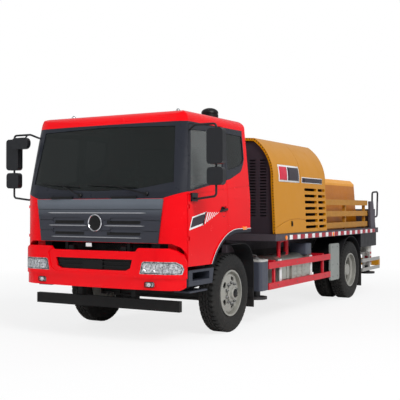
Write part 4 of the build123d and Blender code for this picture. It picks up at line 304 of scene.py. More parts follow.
RED = srgb(222, 3, 16)
YELLOW = srgb(192, 128, 10)
BLACK = srgb(17, 17, 19)
DARK_TRIM = srgb(36, 38, 45)
WHITE = srgb(225, 226, 226)
CAB_LAYERS = [
    # painted shade: the nose's opening, coloured near black
    (nose_gap_shade, srgb(14, 14, 15), 0.6),
    (dark_trim, DARK_TRIM, 0.3),
    (lip_trim, srgb(36, 38, 46), 0.45),
    # painted highlight: the pale line along the arch lip's edge
    (lip_highlight, srgb(196, 190, 190), 0.4),
]

finish("cab_red", RED, 0.24, coat=0.1, mottle=0.03, layers=CAB_LAYERS, shine=0.12)
finish("bumper_red", RED, 0.24, coat=0.1, mottle=0.03, shine=0.12)
finish(
    "guard_red", srgb(196, 20, 38), 0.38, coat=0.1, mottle=0.05, dust=0.03, shine=0.2,
    layers=[(end_plate, srgb(134, 138, 134), 0.45), (behind_axle, srgb(150, 148, 144), 0.35)],
)
finish(
    "grille_grey", srgb(88, 94, 102), 0.34, mottle=0.05, grain=0.05,
    # painted shade on the grille: its face darker from the top edge down, and its air slots near black
    layers=[(grille_shade, srgb(44, 46, 54), 0.36), (inlet_slot_shade, srgb(7, 7, 8), 0.6)],
)
finish("step_grey", srgb(46, 50, 61), 0.5, grain=0.12, dust=0.08)
finish(
    "jack_grey", srgb(62, 66, 78), 0.42, mottle=0.05, dust=0.06,
    layers=[(jack_cap, srgb(176, 176, 172), 0.4), (rear_tube, srgb(205, 203, 196), 0.45)],
)
finish("hood_yellow", YELLOW, 0.34, coat=0.1, mottle=0.03, mottle_size=0.8, shine=0.15)
finish(
    "box_yellow", srgb(186, 110, 3), 0.36, coat=0.1, shine=0.15, mottle=0.04,
    # painted highlight along the box's top edge
    layers=[(box_top_highlight, srgb(228, 156, 50), 0.4)],
)
finish("rail_yellow", srgb(172, 118, 34), 0.42, mottle=0.07, mottle_size=0.2, shine=0.25)
finish(
    "hopper_grey", srgb(186, 122, 22), 0.45, mottle=0.12, mottle_size=0.15, grain=0.15,
    dust=0.25, dust_top=1.5,
)
finish("grate_red", srgb(186, 122, 22), 0.5, mottle=0.1, mottle_size=0.1, grain=0.15)
finish("bulkhead_grey", srgb(48, 41, 48), 0.55, mottle=0.06, layers=[(hood_roof, YELLOW, 0.3)])
finish("post_grey", srgb(72, 66, 74), 0.5, mottle=0.06, layers=[(post_loop, BLACK, 0.4)])
finish("deck_paint", srgb(70, 64, 70), 0.6, mottle=0.12, mottle_size=0.3, grain=0.3, grain_size=0.02)
finish("chassis_black", srgb(15, 15, 17), 0.5, shine=0.25, mottle=0.1, dust=0.08, dust_top=1.2)
finish(
    "bar_black", srgb(11, 11, 12), 0.42, shine=0.2, mottle=0.06, dust=0.03,
    layers=[(behind_axle, srgb(190, 130, 30), 0.4)],
)
finish("spring_steel", srgb(34, 34, 37), 0.55, mottle=0.12, mottle_size=0.08, dust=0.3)
finish("steering_steel", srgb(44, 44, 48), 0.55, metallic=0.3, mottle=0.12, dust=0.3)
finish("engine_grey", srgb(58, 58, 62), 0.55, metallic=0.3, mottle=0.12, mottle_size=0.12, dust=0.25)
finish("guard_plastic", srgb(24, 24, 26), 0.6, grain=0.15, dust=0.08, shine=0.25)
finish("locker_black", srgb(20, 19, 23), 0.42, mottle=0.06, dust=0.06, shine=0.25)
finish("tank_silver", srgb(176, 176, 168), 0.32, metallic=0.85, mottle=0.08, mottle_size=0.1, dust=0.1)
finish("outlet_steel", srgb(130, 126, 120), 0.42, metallic=0.8, mottle=0.15, mottle_size=0.05, dust=0.15)
finish("agitator_steel", srgb(120, 116, 110), 0.5, metallic=0.8, mottle=0.18, mottle_size=0.05)
finish("leg_steel", srgb(44, 44, 48), 0.45, metallic=0.5, mottle=0.1, dust=0.15)
finish("rim_silver", srgb(160, 159, 152), 0.42, metallic=0.35, mottle=0.06, mottle_size=0.1, dust=0.12)
finish(
    "tyre", srgb(30, 30, 30), 0.78, shine=0.25, mottle=0.1, mottle_size=0.12,
    grain=0.25, grain_size=0.003, dust=0.07,
)
finish("interior", srgb(48, 48, 50), 0.6, grain=0.15, mottle=0.06)
finish("seat_cloth", srgb(70, 70, 76), 0.85, grain=0.5, grain_size=0.002)
finish("mirror_black", srgb(24, 25, 28), 0.4, mottle=0.05, grain=0.06)
glazing("cab_glass", srgb(26, 30, 29), 0.8)
glazing("door_glass", srgb(96, 99, 98), 0.72)
# Painted glints: the lamp's strong, fine mottle stands in for sparkle off the reflectors behind its face.
finish("lamp", srgb(168, 170, 172), 0.15, metallic=0.5, coat=0.6, mottle=0.75, mottle_size=0.022)
CHROME = finish("chrome", srgb(215, 215, 218), 0.12, metallic=1.0, mottle=0.05, mottle_size=0.2)
MIRROR = finish("mirror_glass", srgb(200, 206, 210), 0.04, metallic=1.0, mottle=0.02)
TRIM_BLACK = finish("trim_black", srgb(12, 12, 13), 0.42, grain=0.1, shine=0.25)
PAINT_WHITE = finish("paint_white", WHITE, 0.4, mottle=0.04, mottle_size=0.1)
TAPE_RED = finish("tape_red", srgb(158, 16, 38), 0.38, mottle=0.06, mottle_size=0.05)
AMBER = finish("amber", srgb(250, 130, 20), 0.15, coat=1.0, mottle=0.12, mottle_size=0.01)
LAMP_RED = finish("lamp_red", srgb(180, 10, 16), 0.15, coat=1.0, mottle=0.12, mottle_size=0.01)
SIGN_RED = finish("sign_red", srgb(200, 30, 60), 0.4, mottle=0.08, mottle_size=0.08)
SIGN_DARK = finish("sign_dark", srgb(44, 36, 46), 0.4, mottle=0.1, mottle_size=0.08)
BOLT_GREY = finish("bolt_grey", srgb(120, 120, 120), 0.4, metallic=0.8, mottle=0.1, mottle_size=0.02)

for record_part in frame["record"]["subparts"]:
    shown = NODES[record_part["node"]]
    shown.data.materials.clear()
    shown.data.materials.append(MATERIALS[record_part["material_slot"]])


# ---------------------------------------------------------------- mesh helpers
def slab(bm, near, far, edge=0.0):
    """Adds a box between two corners, its edges rounded when edge is given."""
    near, far = Vector(near), Vector(far)
    size = [abs(c) for c in far - near]
    place = Matrix.Translation((near + far) / 2)
    made = bmesh.ops.create_cube(bm, size=1.0, matrix=place @ Matrix.Diagonal((*size, 1)))
    if edge:
        edges = list({e for v in made["verts"] for e in v.link_edges})
        bmesh.ops.bevel(bm, geom=edges, offset=edge, segments=2, profile=0.5, affect="EDGES")


def frame_along(axis):
    """Two directions square to an axis."""
    axis = Vector(axis).normalized()
    helper = Vector((0, 0, 1)) if abs(axis.z) < 0.9 else Vector((1, 0, 0))
    first = axis.cross(helper).normalized()
    return first, axis.cross(first).normalized()


def spun(bm, profile, centre, axis=(0, 1, 0), steps=48):
    """Adds a surface of revolution: profile holds (radius, distance along the axis) points."""
    axis = Vector(axis).normalized()
    across, up = frame_along(axis)
    rings = []
    for step in range(steps):
        turn = 2 * pi * step / steps
        spoke = across * cos(turn) + up * sin(turn)
        rings.append([bm.verts.new(Vector(centre) + axis * d + spoke * r) for r, d in profile])
    for step in range(steps):
        here, there = rings[step], rings[(step + 1) % steps]
        for i in range(len(profile) - 1):
            bm.faces.new((here[i], here[i + 1], there[i + 1], there[i]))


def swept(bm, points, radius, sides=10, bend=0.0):
    """Adds a round bar along points, its corners rounded when bend is given."""
    curve = bpy.data.curves.new("run", "CURVE")
    curve.dimensions = "3D"
    curve.bevel_depth = radius
    curve.bevel_resolution = max(1, sides // 2 - 2)
    curve.use_fill_caps = True
    route = [Vector(p) for p in points]
    if bend:
        eased = [route[0]]
        for before, corner, after in zip(route, route[1:], route[2:]):
            come, leave = (before - corner).normalized(), (after - corner).normalized()
            for share in (0.0, 0.25, 0.5, 0.75, 1.0):
                start, end = corner + come * bend, corner + leave * bend
                eased.append((1 - share) ** 2 * start + 2 * share * (1 - share) * corner + share**2 * end)
        route = eased + [route[-1]]
    spline = curve.splines.new("POLY")
    spline.points.add(len(route) - 1)
    for point, place in zip(spline.points, route):
        point.co = (*place, 1)
    holder = bpy.data.objects.new("run", curve)
    mesh = bpy.data.meshes.new_from_object(holder)
    bm.from_mesh(mesh)
    bpy.data.objects.remove(holder)
    bpy.data.meshes.remove(mesh)
    bpy.data.curves.remove(curve)


def prism(bm, outline, depth):
    """Adds a plate from an outline of 3-D points, thickened along depth."""
    depth = Vector(depth)
    low_ring = [bm.verts.new(Vector(p)) for p in outline]
    high_ring = [bm.verts.new(Vector(p) + depth) for p in outline]
    count = len(outline)
    faces = [bm.faces.new(low_ring[::-1]), bm.faces.new(high_ring)]
    for i in range(count):
        j = (i + 1) % count
        faces.append(bm.faces.new((low_ring[i], low_ring[j], high_ring[j], high_ring[i])))
    bmesh.ops.recalc_face_normals(bm, faces=faces)


def piece(name, bm, material, body, sharp=35):
    """Turns a bmesh into an object that rides on a CAD body."""
    mesh = bpy.data.meshes.new(name)
    bmesh.ops.recalc_face_normals(bm, faces=bm.faces[:])
    bm.to_mesh(mesh)
    bm.free()
    mesh.materials.append(material)
    mesh.shade_smooth()
    mesh.set_sharp_from_angle(angle=radians(sharp))
    obj = bpy.data.objects.new(name, mesh)
    bpy.context.scene.collection.objects.link(obj)
    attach(obj, body)
    return obj


def sides():
    """The left side, then the right one: sign and name."""
    return ((1, "left"), (-1, "right"))


def round_trip(outline):
    """Each corner of an outline with the next, and the last with the first."""
    return zip(outline, outline[1:] + outline[:1])


# ---------------------------------------------------------------- wheels
TREAD_BASE = TYRE_R - 0.015
LUGS = 46


def tyre_side(sign):
    """Half of a tyre's section, from its bead over the sidewall's ribs to the tread."""
    half = [
        (0.2856, 0.090), (0.2870, 0.0975), (0.300, 0.0985), (0.312, 0.100), (0.318, 0.110), (0.326, 0.112),
        (0.332, 0.1125), (0.345, 0.1205), (0.360, 0.126), (0.376, 0.1292), (0.388, 0.1296), (0.390, 0.1283),
        (0.396, 0.1283), (0.398, 0.1295), (0.414, 0.1285), (0.432, 0.125), (0.448, 0.120), (0.452, 0.1175),
        (0.470, 0.1125), (0.484, 0.105), (TREAD_BASE, 0.094), (TREAD_BASE, 0.050),
    ]
    return [(r, sign * y) for r, y in half]


LUG_SECTION = [
    (0.483, 0.048), (TYRE_R, 0.048), (TYRE_R, 0.088), (0.497, 0.101), (0.480, 0.111), (0.462, 0.115),
]
LUG_SHARE = 0.62  # of the pitch
RIB_HALF = 0.014
RIB_SWAY = 0.005


def shoulder_lug(bm, centre, start, pitch, sign):
    """Adds one lug, whose inner edge leans forward."""
    ends = []
    for share in (0.0, LUG_SHARE):
        ring = []
        for r, y in LUG_SECTION:
            turn = start + (share + (0.12 if y < 0.06 else 0.0)) * pitch
            ring.append(bm.verts.new(centre + Vector((r * cos(turn), sign * y, r * sin(turn)))))
        ends.append(ring)
    bm.faces.new(ends[0])
    bm.faces.new(ends[1][::-1])
    count = len(LUG_SECTION)
    for i in range(count):
        j = (i + 1) % count
        bm.faces.new((ends[0][i], ends[0][j], ends[1][j], ends[1][i]))


def centre_rib(bm, centre, rib_y, start, pitch):
    """Adds one pitch of a zigzag rib."""
    corners = []
    for share, sway in ((0.04, -RIB_SWAY), (0.52, RIB_SWAY), (0.96, -RIB_SWAY)):
        turn = start + share * pitch
        spoke = Vector((cos(turn), 0, sin(turn)))
        for r in (TREAD_BASE - 0.004, TYRE_R):
            for edge in (-RIB_HALF, RIB_HALF):
                corners.append(bm.verts.new(centre + spoke * r + Vector((0, rib_y + sway + edge, 0))))
    for k in (0, 4):
        a, b, c, d, e, f, g, h = corners[k:k + 8]
        bm.faces.new((c, d, h, g))
        bm.faces.new((a, c, g, e))
        bm.faces.new((b, f, h, d))
    bm.faces.new((corners[0], corners[1], corners[3], corners[2]))
    bm.faces.new((corners[8], corners[10], corners[11], corners[9]))


def tyre(name, node, body, centres):
    """Tyres with shoulder lugs and zigzag centre ribs, in place of the plain ones."""
    bm = bmesh.new()
    pitch = 2 * pi / LUGS
    for centre in centres:
        spun(bm, tyre_side(-1) + tyre_side(1)[::-1], centre, steps=120)
        centre = Vector(centre)
        for lug in range(LUGS):
            for sign in (-1, 1):
                shoulder_lug(bm, centre, (lug + (0.25 if sign > 0 else 0.0)) * pitch, pitch, sign)
            for rib_y, shift in ((-0.020, 0.0), (0.020, 0.5)):
                centre_rib(bm, centre, rib_y, (lug + shift) * pitch, pitch)
    shown = piece(name, bm, MATERIALS["tyre"], body, sharp=28)
    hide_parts(node)


def wheel_nuts(wheel, centre_x, face_y, side, ring_r):
    """Hexagon nuts on their studs, round a wheel's hub."""
    count, nut = 10, 0.017
    bm = bmesh.new()
    axis = Vector((0, side, 0))
    for n in range(count):
        turn = 2 * pi * (n + 0.5) / count
        foot = Vector((centre_x + ring_r * cos(turn), side * face_y, AXLE_Z + ring_r * sin(turn)))
        hexagon = [(0.0, -0.002), (nut, -0.002), (nut, 0.020), (nut * 0.8, 0.024), (0.0, 0.024)]
        stud = [(nut * 0.45, 0.020), (nut * 0.45, 0.038), (nut * 0.3, 0.041), (0.0, 0.041)]
        washer = [(nut * 1.3, -0.001), (nut * 1.3, 0.004), (nut, 0.005)]
        for profile, steps in ((hexagon, 6), (stud, 10), (washer, 16)):
            spun(bm, profile, foot, axis, steps=steps)
    piece(f"nuts_{wheel}", bm, BOLT_GREY, f"wheel_{wheel}")


def wheels():
    front_y = abs(middle("tyre_fl").y)
    rear_y = high("tyre_rl").y - (high("tyre_fl").y - low("tyre_fl").y) / 2
    for side, corner in ((1, "l"), (-1, "r")):
        tyre(f"tread_f{corner}", f"tyre_f{corner}", f"wheel_f{corner}", [(FX, side * front_y, AXLE_Z)])
        tyre(
            f"tread_r{corner}", f"tyre_r{corner}", f"wheel_r{corner}",
            [(RX, side * rear_y, AXLE_Z), (RX, side * (rear_y - 0.3), AXLE_Z)],
        )
        wheel_nuts(f"f{corner}", FX, front_y + 0.1, side, 0.134)
        wheel_nuts(f"r{corner}", RX, rear_y - 0.135, side, 0.172)
        caps = bmesh.new()
        hub = Vector((FX, side * (front_y + 0.165), AXLE_Z))
        cap = [(0.056, -0.004), (0.056, 0.003), (0.05, 0.007), (0.0, 0.009)]
        spun(caps, cap, hub, (0, side, 0), steps=32)
        for n in range(6):
            turn = pi * n / 3
            spot = hub + Vector((0.042 * cos(turn), side * 0.005, 0.042 * sin(turn)))
            spun(caps, [(0.006, 0.0), (0.006, 0.006), (0.0, 0.007)], spot, (0, side, 0), steps=8)
        piece(f"hub_cap_f{corner}", caps, TRIM_BLACK, f"wheel_f{corner}")


# ---------------------------------------------------------------- cab front
NOSE_BACK = 0.095  # from the bumper's nose back to the cab's skin
NOSE_BOW = 0.03  # how far the skin falls back from the middle to BOW_Y
BOW_Y = 0.93
SCREEN_FOOT = 1.79
SCREEN_LEAN = 0.24
GRILLE_FACE = 0.016  # how far the grille stands proud of the skin


def front_x(y, z):
    """How far forward the cab's front skin stands at a point in front view."""
    bow = high("front_bumper").x - NOSE_BACK - NOSE_BOW * (y / BOW_Y) ** 2
    return bow - SCREEN_LEAN * max(0.0, z - SCREEN_FOOT)


def bar_on_front(bm, y_low, y_high, z, height, proud, base=GRILLE_FACE, taper=0.05):
    """Adds a bright strip that follows the front's bow, thinning out at its ends."""
    steps = 24
    rows = []
    for n in range(steps + 1):
        y = y_low + (y_high - y_low) * n / steps
        thin = min(1.0, (y - y_low) / taper + 0.15, (y_high - y) / taper + 0.15)
        half = height / 2 * thin
        face = front_x(y, z) + base
        rows.append([
            bm.verts.new((face - 0.002, y, z - half)),
            bm.verts.new((face + proud * thin, y, z - half * 0.5)),
            bm.verts.new((face + proud * thin, y, z + half * 0.5)),
            bm.verts.new((face - 0.002, y, z + half)),
        ])
    for here, there in zip(rows, rows[1:]):
        for i in range(3):
            bm.faces.new((here[i], here[i + 1], there[i + 1], there[i]))
    bm.faces.new(rows[0])
    bm.faces.new(rows[-1][::-1])


def grille_brightwork():
    bm = bmesh.new()
    # left end, right end, height
    for y_low, y_high, z in (
        (-0.76, 0.72, 1.545), (-0.74, -0.13, 1.392), (0.13, 0.70, 1.392), (-0.70, 0.66, 1.252),
    ):
        bar_on_front(bm, y_low, y_high, z, 0.022, 0.009)
    piece("grille_strips", bm, CHROME, "cab")
    emblem_x = high("grille_panel").x
    centre = Vector((emblem_x, 0, 1.425))
    ring = bmesh.new()
    rim = [(0.105, -0.01), (0.105, 0.004), (0.1, 0.009), (0.093, 0.009), (0.088, 0.002), (0.088, -0.004)]
    spun(ring, rim, centre, (1, 0, 0), steps=64)
    piece("emblem_ring", ring, CHROME, "cab")
    disc = bmesh.new()
    spun(disc, [(0.090, 0.001), (0.060, 0.003), (0.0, 0.004)], centre, (1, 0, 0), steps=48)
    piece("emblem_disc", disc, TRIM_BLACK, "cab")


def on_front(point, proud):
    """A point (y, z) of the front view, standing proud of the cab's skin."""
    return Vector((front_x(*point) + proud, *point))


def wipers():
    bm = bmesh.new()
    # pivot, arm's end, both ends of the blade, as (y, z)
    for pivot, tip, start, end in (
        ((-0.24, 1.756), (-0.53, 1.884), (-0.90, 1.912), (-0.26, 1.858)),
        ((0.72, 1.768), (0.30, 1.864), (-0.12, 1.886), (0.56, 1.846)),
    ):
        boss = [(0.026, -0.02), (0.026, 0.018), (0.018, 0.028), (0.0, 0.030)]
        spun(bm, boss, on_front(pivot, 0), (1, 0, 0.2), steps=16)
        swept(bm, [on_front(pivot, 0.024), on_front(tip, 0.034)], 0.008, sides=8)
        start, end = Vector(start), Vector(end)
        blade = [on_front(start.lerp(end, share), 0.016) for share in (0.0, 0.33, 0.66, 1.0)]
        swept(bm, blade, 0.007, sides=6)
        near, far = (on_front(start.lerp(end, share), 0.02) for share in (0.2, 0.75))
        swept(bm, [near, on_front(tip, 0.038), far], 0.005, sides=6)
    # the lower blades, parked along the cowl
    for start, end in (((-0.71, 1.728), (-0.36, 1.722)), ((0.22, 1.726), (0.59, 1.718))):
        slab(
            bm, (front_x(*start) - 0.004, start[0], start[1] - 0.014),
            (front_x(*end) + 0.022, end[0], start[1] + 0.016), 0.006,
        )
    piece("wipers", bm, TRIM_BLACK, "cab")


def number_plate():
    """A small bare plate in the gap under the grille, with a black block behind it as painted shade for the
    gap there.
    """
    bm = bmesh.new()
    face = front_x(0, 1.2) - 0.002
    slab(bm, (face, -0.155, 1.135), (face + 0.006, -0.065, 1.180), 0.002)
    piece("front_tag", bm, PAINT_WHITE, "cab")
    # painted shade: a black block standing for the dark gap behind the plate
    back = bmesh.new()
    slab(back, (face - 0.03, -0.150, 1.138), (face + 0.001, -0.070, 1.205), 0.003)
    piece("front_tag_gap_shade", back, TRIM_BLACK, "cab")


def radiator():
    """The finned core and its frame, seen through the gap between the grille and the bumper."""
    bm = bmesh.new()
    back, front, foot = FX + 1.10, FX + 1.15, 0.80
    slab(bm, (back, -0.60, foot), (front, 0.60, 1.186), 0.004)
    for n in range(24):
        z = foot + 0.015 + n * 0.0145
        slab(bm, (front - 0.004, -0.56, z), (front + 0.010, 0.56, z + 0.006))
    for y in (-0.585, 0.585):
        slab(bm, (back, y - 0.02, foot), (front + 0.016, y + 0.02, 1.17), 0.006)
    piece("radiator", bm, TRIM_BLACK, "chassis")


# distance from the middle, height, radius, distance behind the bumper's face
LAMP_BOWLS = ((0.78, 0.912, 0.056, 0.043), (0.905, 0.912, 0.060, 0.062), (1.035, 0.905, 0.050, 0.098))
LAMP_RIM = [
    (0.69, 0.85), (0.713, 0.955), (0.735, 0.972), (1.1, 0.972), (1.15, 0.94), (1.163, 0.9), (1.15, 0.85),
]
FOG_RIM = [
    (0.742, 0.692), (0.742, 0.735), (0.752, 0.748), (0.85, 0.748), (0.862, 0.735), (0.862, 0.7), (0.85, 0.69),
]


def head_lamps():
    """Bowls and bulb glasses behind the clear face of each lamp, and the dark rims round the lamps."""
    bumper = high("front_bumper").x
    bowls, trims = bmesh.new(), bmesh.new()
    for side, _ in sides():
        for y, z, r, back in LAMP_BOWLS:
            lean = Vector((1, side * (0.1 + (y - 0.7) * 1.1), 0)).normalized()
            bowl = [
                (r, 0.0), (r, 0.006), (r - 0.007, 0.008), (r - 0.012, 0.002), (r * 0.45, -0.004),
                (r * 0.42, 0.004), (r * 0.25, 0.009), (0.0, 0.010),
            ]
            spun(bowls, bowl, (bumper - back, side * y, z), lean, steps=32)
        for (y0, z0), (y1, z1) in round_trip(LAMP_RIM):
            spots = [(y0 + (y1 - y0) * n / 6, z0 + (z1 - z0) * n / 6) for n in range(7)]
            swept(trims, [(bumper_face(y) - 0.001, side * y, z) for y, z in spots], 0.004, sides=6)
        for ends in round_trip(FOG_RIM):
            swept(trims, [(bumper_face(y), side * y, z) for y, z in ends], 0.005, sides=6)
        fog_y, fog_z = 0.80, 0.719
        bulb = [(0.024, 0.001), (0.024, 0.004), (0.018, 0.005), (0.0, 0.001)]
        spun(bowls, bulb, (bumper_face(fog_y) - 0.004, side * fog_y, fog_z), (1, 0, 0), steps=28)
    piece("lamp_bowls", bowls, CHROME, "chassis")
    piece("lamp_rims", trims, TRIM_BLACK, "chassis")


def bumper_face(y):
    """How far forward the bumper's face stands at a distance from the middle."""
    nose = high("front_bumper").x
    corner = CAB_Y - 0.34
    if y <= corner:
        return nose - 0.045 * (y / corner) ** 2
    share = (y - corner) / (CAB_Y - corner)
    return nose - 0.045 - 0.026 * share - 0.165 * share**3.2


# ---------------------------------------------------------------- cab sides
SIGN_EDGE = [(1.225, 1.345), (0.885, 1.405), (0.815, 1.560), (1.155, 1.500)]
SIGN_FIELD = [(1.200, 1.372), (0.905, 1.424), (0.848, 1.538), (1.143, 1.486)]
SIGN_RISE = 0.176  # of the sign's edges and of the stripes behind it


def on_door(side, outline):
    """Points (x from the front axle, z) of the side view, on the door's face."""
    return [(FX + x, side * CAB_Y, z) for x, z in outline]


def door_pull(side, name):
    """A round cup, the grip that crosses it and a key barrel."""
    bm = bmesh.new()
    floor_y = CAB_Y - 0.014
    # x from the front axle, how proud, z
    grip = ((0.262, -0.002, 1.581), (0.290, 0.022, 1.589), (0.440, 0.026, 1.572), (0.478, -0.002, 1.560))
    swept(bm, [(FX + x, side * (floor_y + proud), z) for x, proud, z in grip], 0.015, bend=0.02)
    cup = [(0.066, 0.0), (0.066, 0.010), (0.060, 0.015), (0.052, 0.013), (0.040, 0.004), (0.0, 0.003)]
    spun(bm, cup, (FX + 0.370, side * floor_y, 1.553), (0, side, 0), steps=40)
    barrel = [(0.016, 0.0), (0.016, 0.008), (0.010, 0.011), (0.0, 0.011)]
    spun(bm, barrel, (FX + 0.462, side * floor_y, 1.530), (0, side, 0), steps=20)
    piece(f"door_pull_{name}", bm, TRIM_BLACK, f"door_{name}")


def door_sign(side, name):
    """A bare sign: a white-edged slanted plate, with stripes running off its end."""
    body = f"door_{name}"
    edge, field, stripes = bmesh.new(), bmesh.new(), bmesh.new()
    prism(edge, on_door(side, SIGN_EDGE), (0, side * 0.0015, 0))
    prism(field, on_door(side, SIGN_FIELD), (0, side * 0.0025, 0))
    sign_rear, sign_top = SIGN_EDGE[3]
    sign_foot = SIGN_EDGE[0][1]
    for n in range(7):
        x = 0.845 - n * 0.055
        rise = (sign_rear - x) * SIGN_RISE
        thick = 0.026 - 0.0025 * n
        top, foot = sign_top + rise - 0.010 * n, sign_foot + rise + 0.010 * n
        stripe = [(x, top), (x - thick, top), (x + 0.07 - thick, foot), (x + 0.07, foot)]
        prism(stripes, on_door(side, stripe), (0, side * 0.0015, 0))
    piece(f"door_sign_edge_{name}", edge, PAINT_WHITE, body)
    piece(f"door_sign_{name}", field, SIGN_DARK, body)
    piece(f"door_stripes_{name}", stripes, PAINT_WHITE, body)


def door_fittings():
    """Pulls and signs on the doors, side lamps behind them, and the mirrors' glass."""
    outer = high("mirror_left").y
    for side, name in sides():
        door_pull(side, name)
        door_sign(side, name)
        lamp = bmesh.new()
        near_y, far_y = side * (CAB_Y - 0.004), side * (CAB_Y + 0.016)
        slab(lamp, (FX - 0.26, near_y, 1.318), (FX - 0.14, far_y, 1.362), 0.007)
        piece(f"side_lamp_{name}", lamp, AMBER, "cab")
        glass = bmesh.new()
        near_y, far_y = side * (outer - 0.194), side * (outer - 0.015)
        for back, top, foot in ((1.131, 2.50, 2.12), (1.136, 2.057, 1.878)):
            slab(glass, (FX + back, near_y, foot), (FX + back + 0.0095, far_y, top), 0.003)
        piece(f"mirror_glass_{name}", glass, MIRROR, f"door_{name}")


DOME_R = 0.115
DOME_Y = 0.75


def roof_fittings():
    """The roof's dome on its ribbed base, and the marker lamps' small caps on their feet."""
    nearest, furthest = low("roof_lamps"), high("roof_lamps")
    top, radius = furthest.z, DOME_R - 0.001
    bm = bmesh.new()
    waist = radius - 0.006
    skirt = [(radius, 2.74), (radius, 2.845), (waist, 2.850), (waist, 2.856), (radius, 2.861)]
    turns = [pi / 2 * n / 10 for n in range(1, 10)]
    cap = [(radius * cos(turn), top - 0.066 + 0.065 * sin(turn)) for turn in turns]
    spun(bm, skirt + cap + [(0.0, top - 0.001)], (nearest.x + DOME_R, DOME_Y, 0), (0, 0, 1), steps=64)
    feet, caps = bmesh.new(), bmesh.new()
    lamp_x = furthest.x - 0.032
    lens = [(0.030, 2.785), (0.029, 2.797), (0.024, 2.809), (0.014, 2.820), (0.005, 2.826), (0.0, 2.827)]
    for side, _ in sides():
        lamp_y = side * (furthest.y - 0.075)
        slab(
            feet, (lamp_x - 0.031, lamp_y - 0.062, 2.742), (lamp_x + 0.031, lamp_y + 0.062, 2.790), 0.008,
        )
        spun(caps, lens, (lamp_x, lamp_y, 0), (0, 0, 1), steps=32)
    for shown in (
        piece("roof_dome", bm, TRIM_BLACK, "cab"),
        piece("marker_feet", feet, BOLT_GREY, "cab"),
        piece("marker_caps", caps, MATERIALS["lamp"], "cab"),
    ):
        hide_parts("roof_lamps")


# ---------------------------------------------------------------- hood
def circle_through(a, b, c):
    """Centre and radius of the circle through three (y, z) points."""
    (ax, ay), (bx, by), (cx, cy) = a, b, c
    d = 2 * (ax * (by - cy) + bx * (cy - ay) + cx * (ay - by))
    ux = ((ax**2 + ay**2) * (by - cy) + (bx**2 + by**2) * (cy - ay) + (cx**2 + cy**2) * (ay - by)) / d
    uz = ((ax**2 + ay**2) * (cx - bx) + (bx**2 + by**2) * (ax - cx) + (cx**2 + cy**2) * (bx - ax)) / d
    return ux, uz, sqrt((ax - ux) ** 2 + (ay - uz) ** 2)


HOOD_FRONT = high("hood_wing_left").x
HOOD_FOOT_Y = high("hood_wing_left").y
HOOD_TOP = DECK_TOP + 1.42
SHOULDER = (HOOD_FOOT_Y - 0.035, 2.0)
CROWN = (HOOD_FOOT_Y - 0.335, HOOD_TOP - 0.033)
HOOD_ARC = circle_through(SHOULDER, (HOOD_FOOT_Y - 0.130, HOOD_TOP - 0.252), CROWN)


def hood_y(z, inset=0.0):
    """Half width of the hood at a height."""
    if z <= SHOULDER[1]:
        return HOOD_FOOT_Y - 0.035 * (z - DECK_TOP) / (SHOULDER[1] - DECK_TOP) - inset
    centre_y, centre_z, radius = HOOD_ARC
    radius -= inset
    return centre_y + sqrt(max(0.0, radius**2 - (z - centre_z) ** 2))


def hood_path(inset, spacing):
    """Points at even spacing along the hood's section, from its foot to its roof."""
    fine = [(hood_y(DECK_TOP + 0.02 + n * 0.005, inset), DECK_TOP + 0.02 + n * 0.005) for n in range(274)]
    fine = [p for p in fine if p[1] < CROWN[1] - inset]
    fine += [(CROWN[0] - n * 0.005, CROWN[1] - inset + n * 0.0003) for n in range(1, 105)]
    spots, run = [fine[0]], 0.0
    for before, after in zip(fine, fine[1:]):
        run += sqrt((after[0] - before[0]) ** 2 + (after[1] - before[1]) ** 2)
        if run >= spacing:
            spots.append(after)
            run = 0.0
    return spots


# name, front and rear edge behind the front axle, lower and upper edge, how proud, material, slot
HOOD_SIGNS = (
    ("hood_sign_edge", 1.36, 2.13, 1.99, 2.238, 0.003, PAINT_WHITE, "lamp"),
    ("hood_sign_red", 1.385, 1.66, 2.015, 2.213, 0.005, SIGN_RED, "guard_red"),
    ("hood_sign_dark", 1.69, 2.105, 2.015, 2.213, 0.005, SIGN_DARK, "bar_black"),
    ("hood_strip_edge", 2.225, 3.095, 1.993, 2.083, 0.003, PAINT_WHITE, "lamp"),
    ("hood_strip", 2.235, 3.085, 2.003, 2.073, 0.005, SIGN_DARK, "bar_black"),
)


def hood_sign(name, side, body, front, rear, foot, top, proud, material, slot):
    """A bare plate that follows the hood's side."""
    bm = bmesh.new()
    columns, rows = 6, 6
    grid = []
    for row in range(rows + 1):
        z = foot + (top - foot) * row / rows
        y = side * (hood_y(z) + proud)
        grid.append([
            bm.verts.new((FX - rear + (rear - front) * c / columns, y, z)) for c in range(columns + 1)
        ])
    for here, over in zip(grid, grid[1:]):
        for c in range(columns):
            bm.faces.new((here[c], here[c + 1], over[c + 1], over[c]))
    made = piece(name, bm, material, body)
    thick = made.modifiers.new("thickness", "SOLIDIFY")
    thick.thickness = proud + 0.001
    thick.offset = -1 if side > 0 else 1


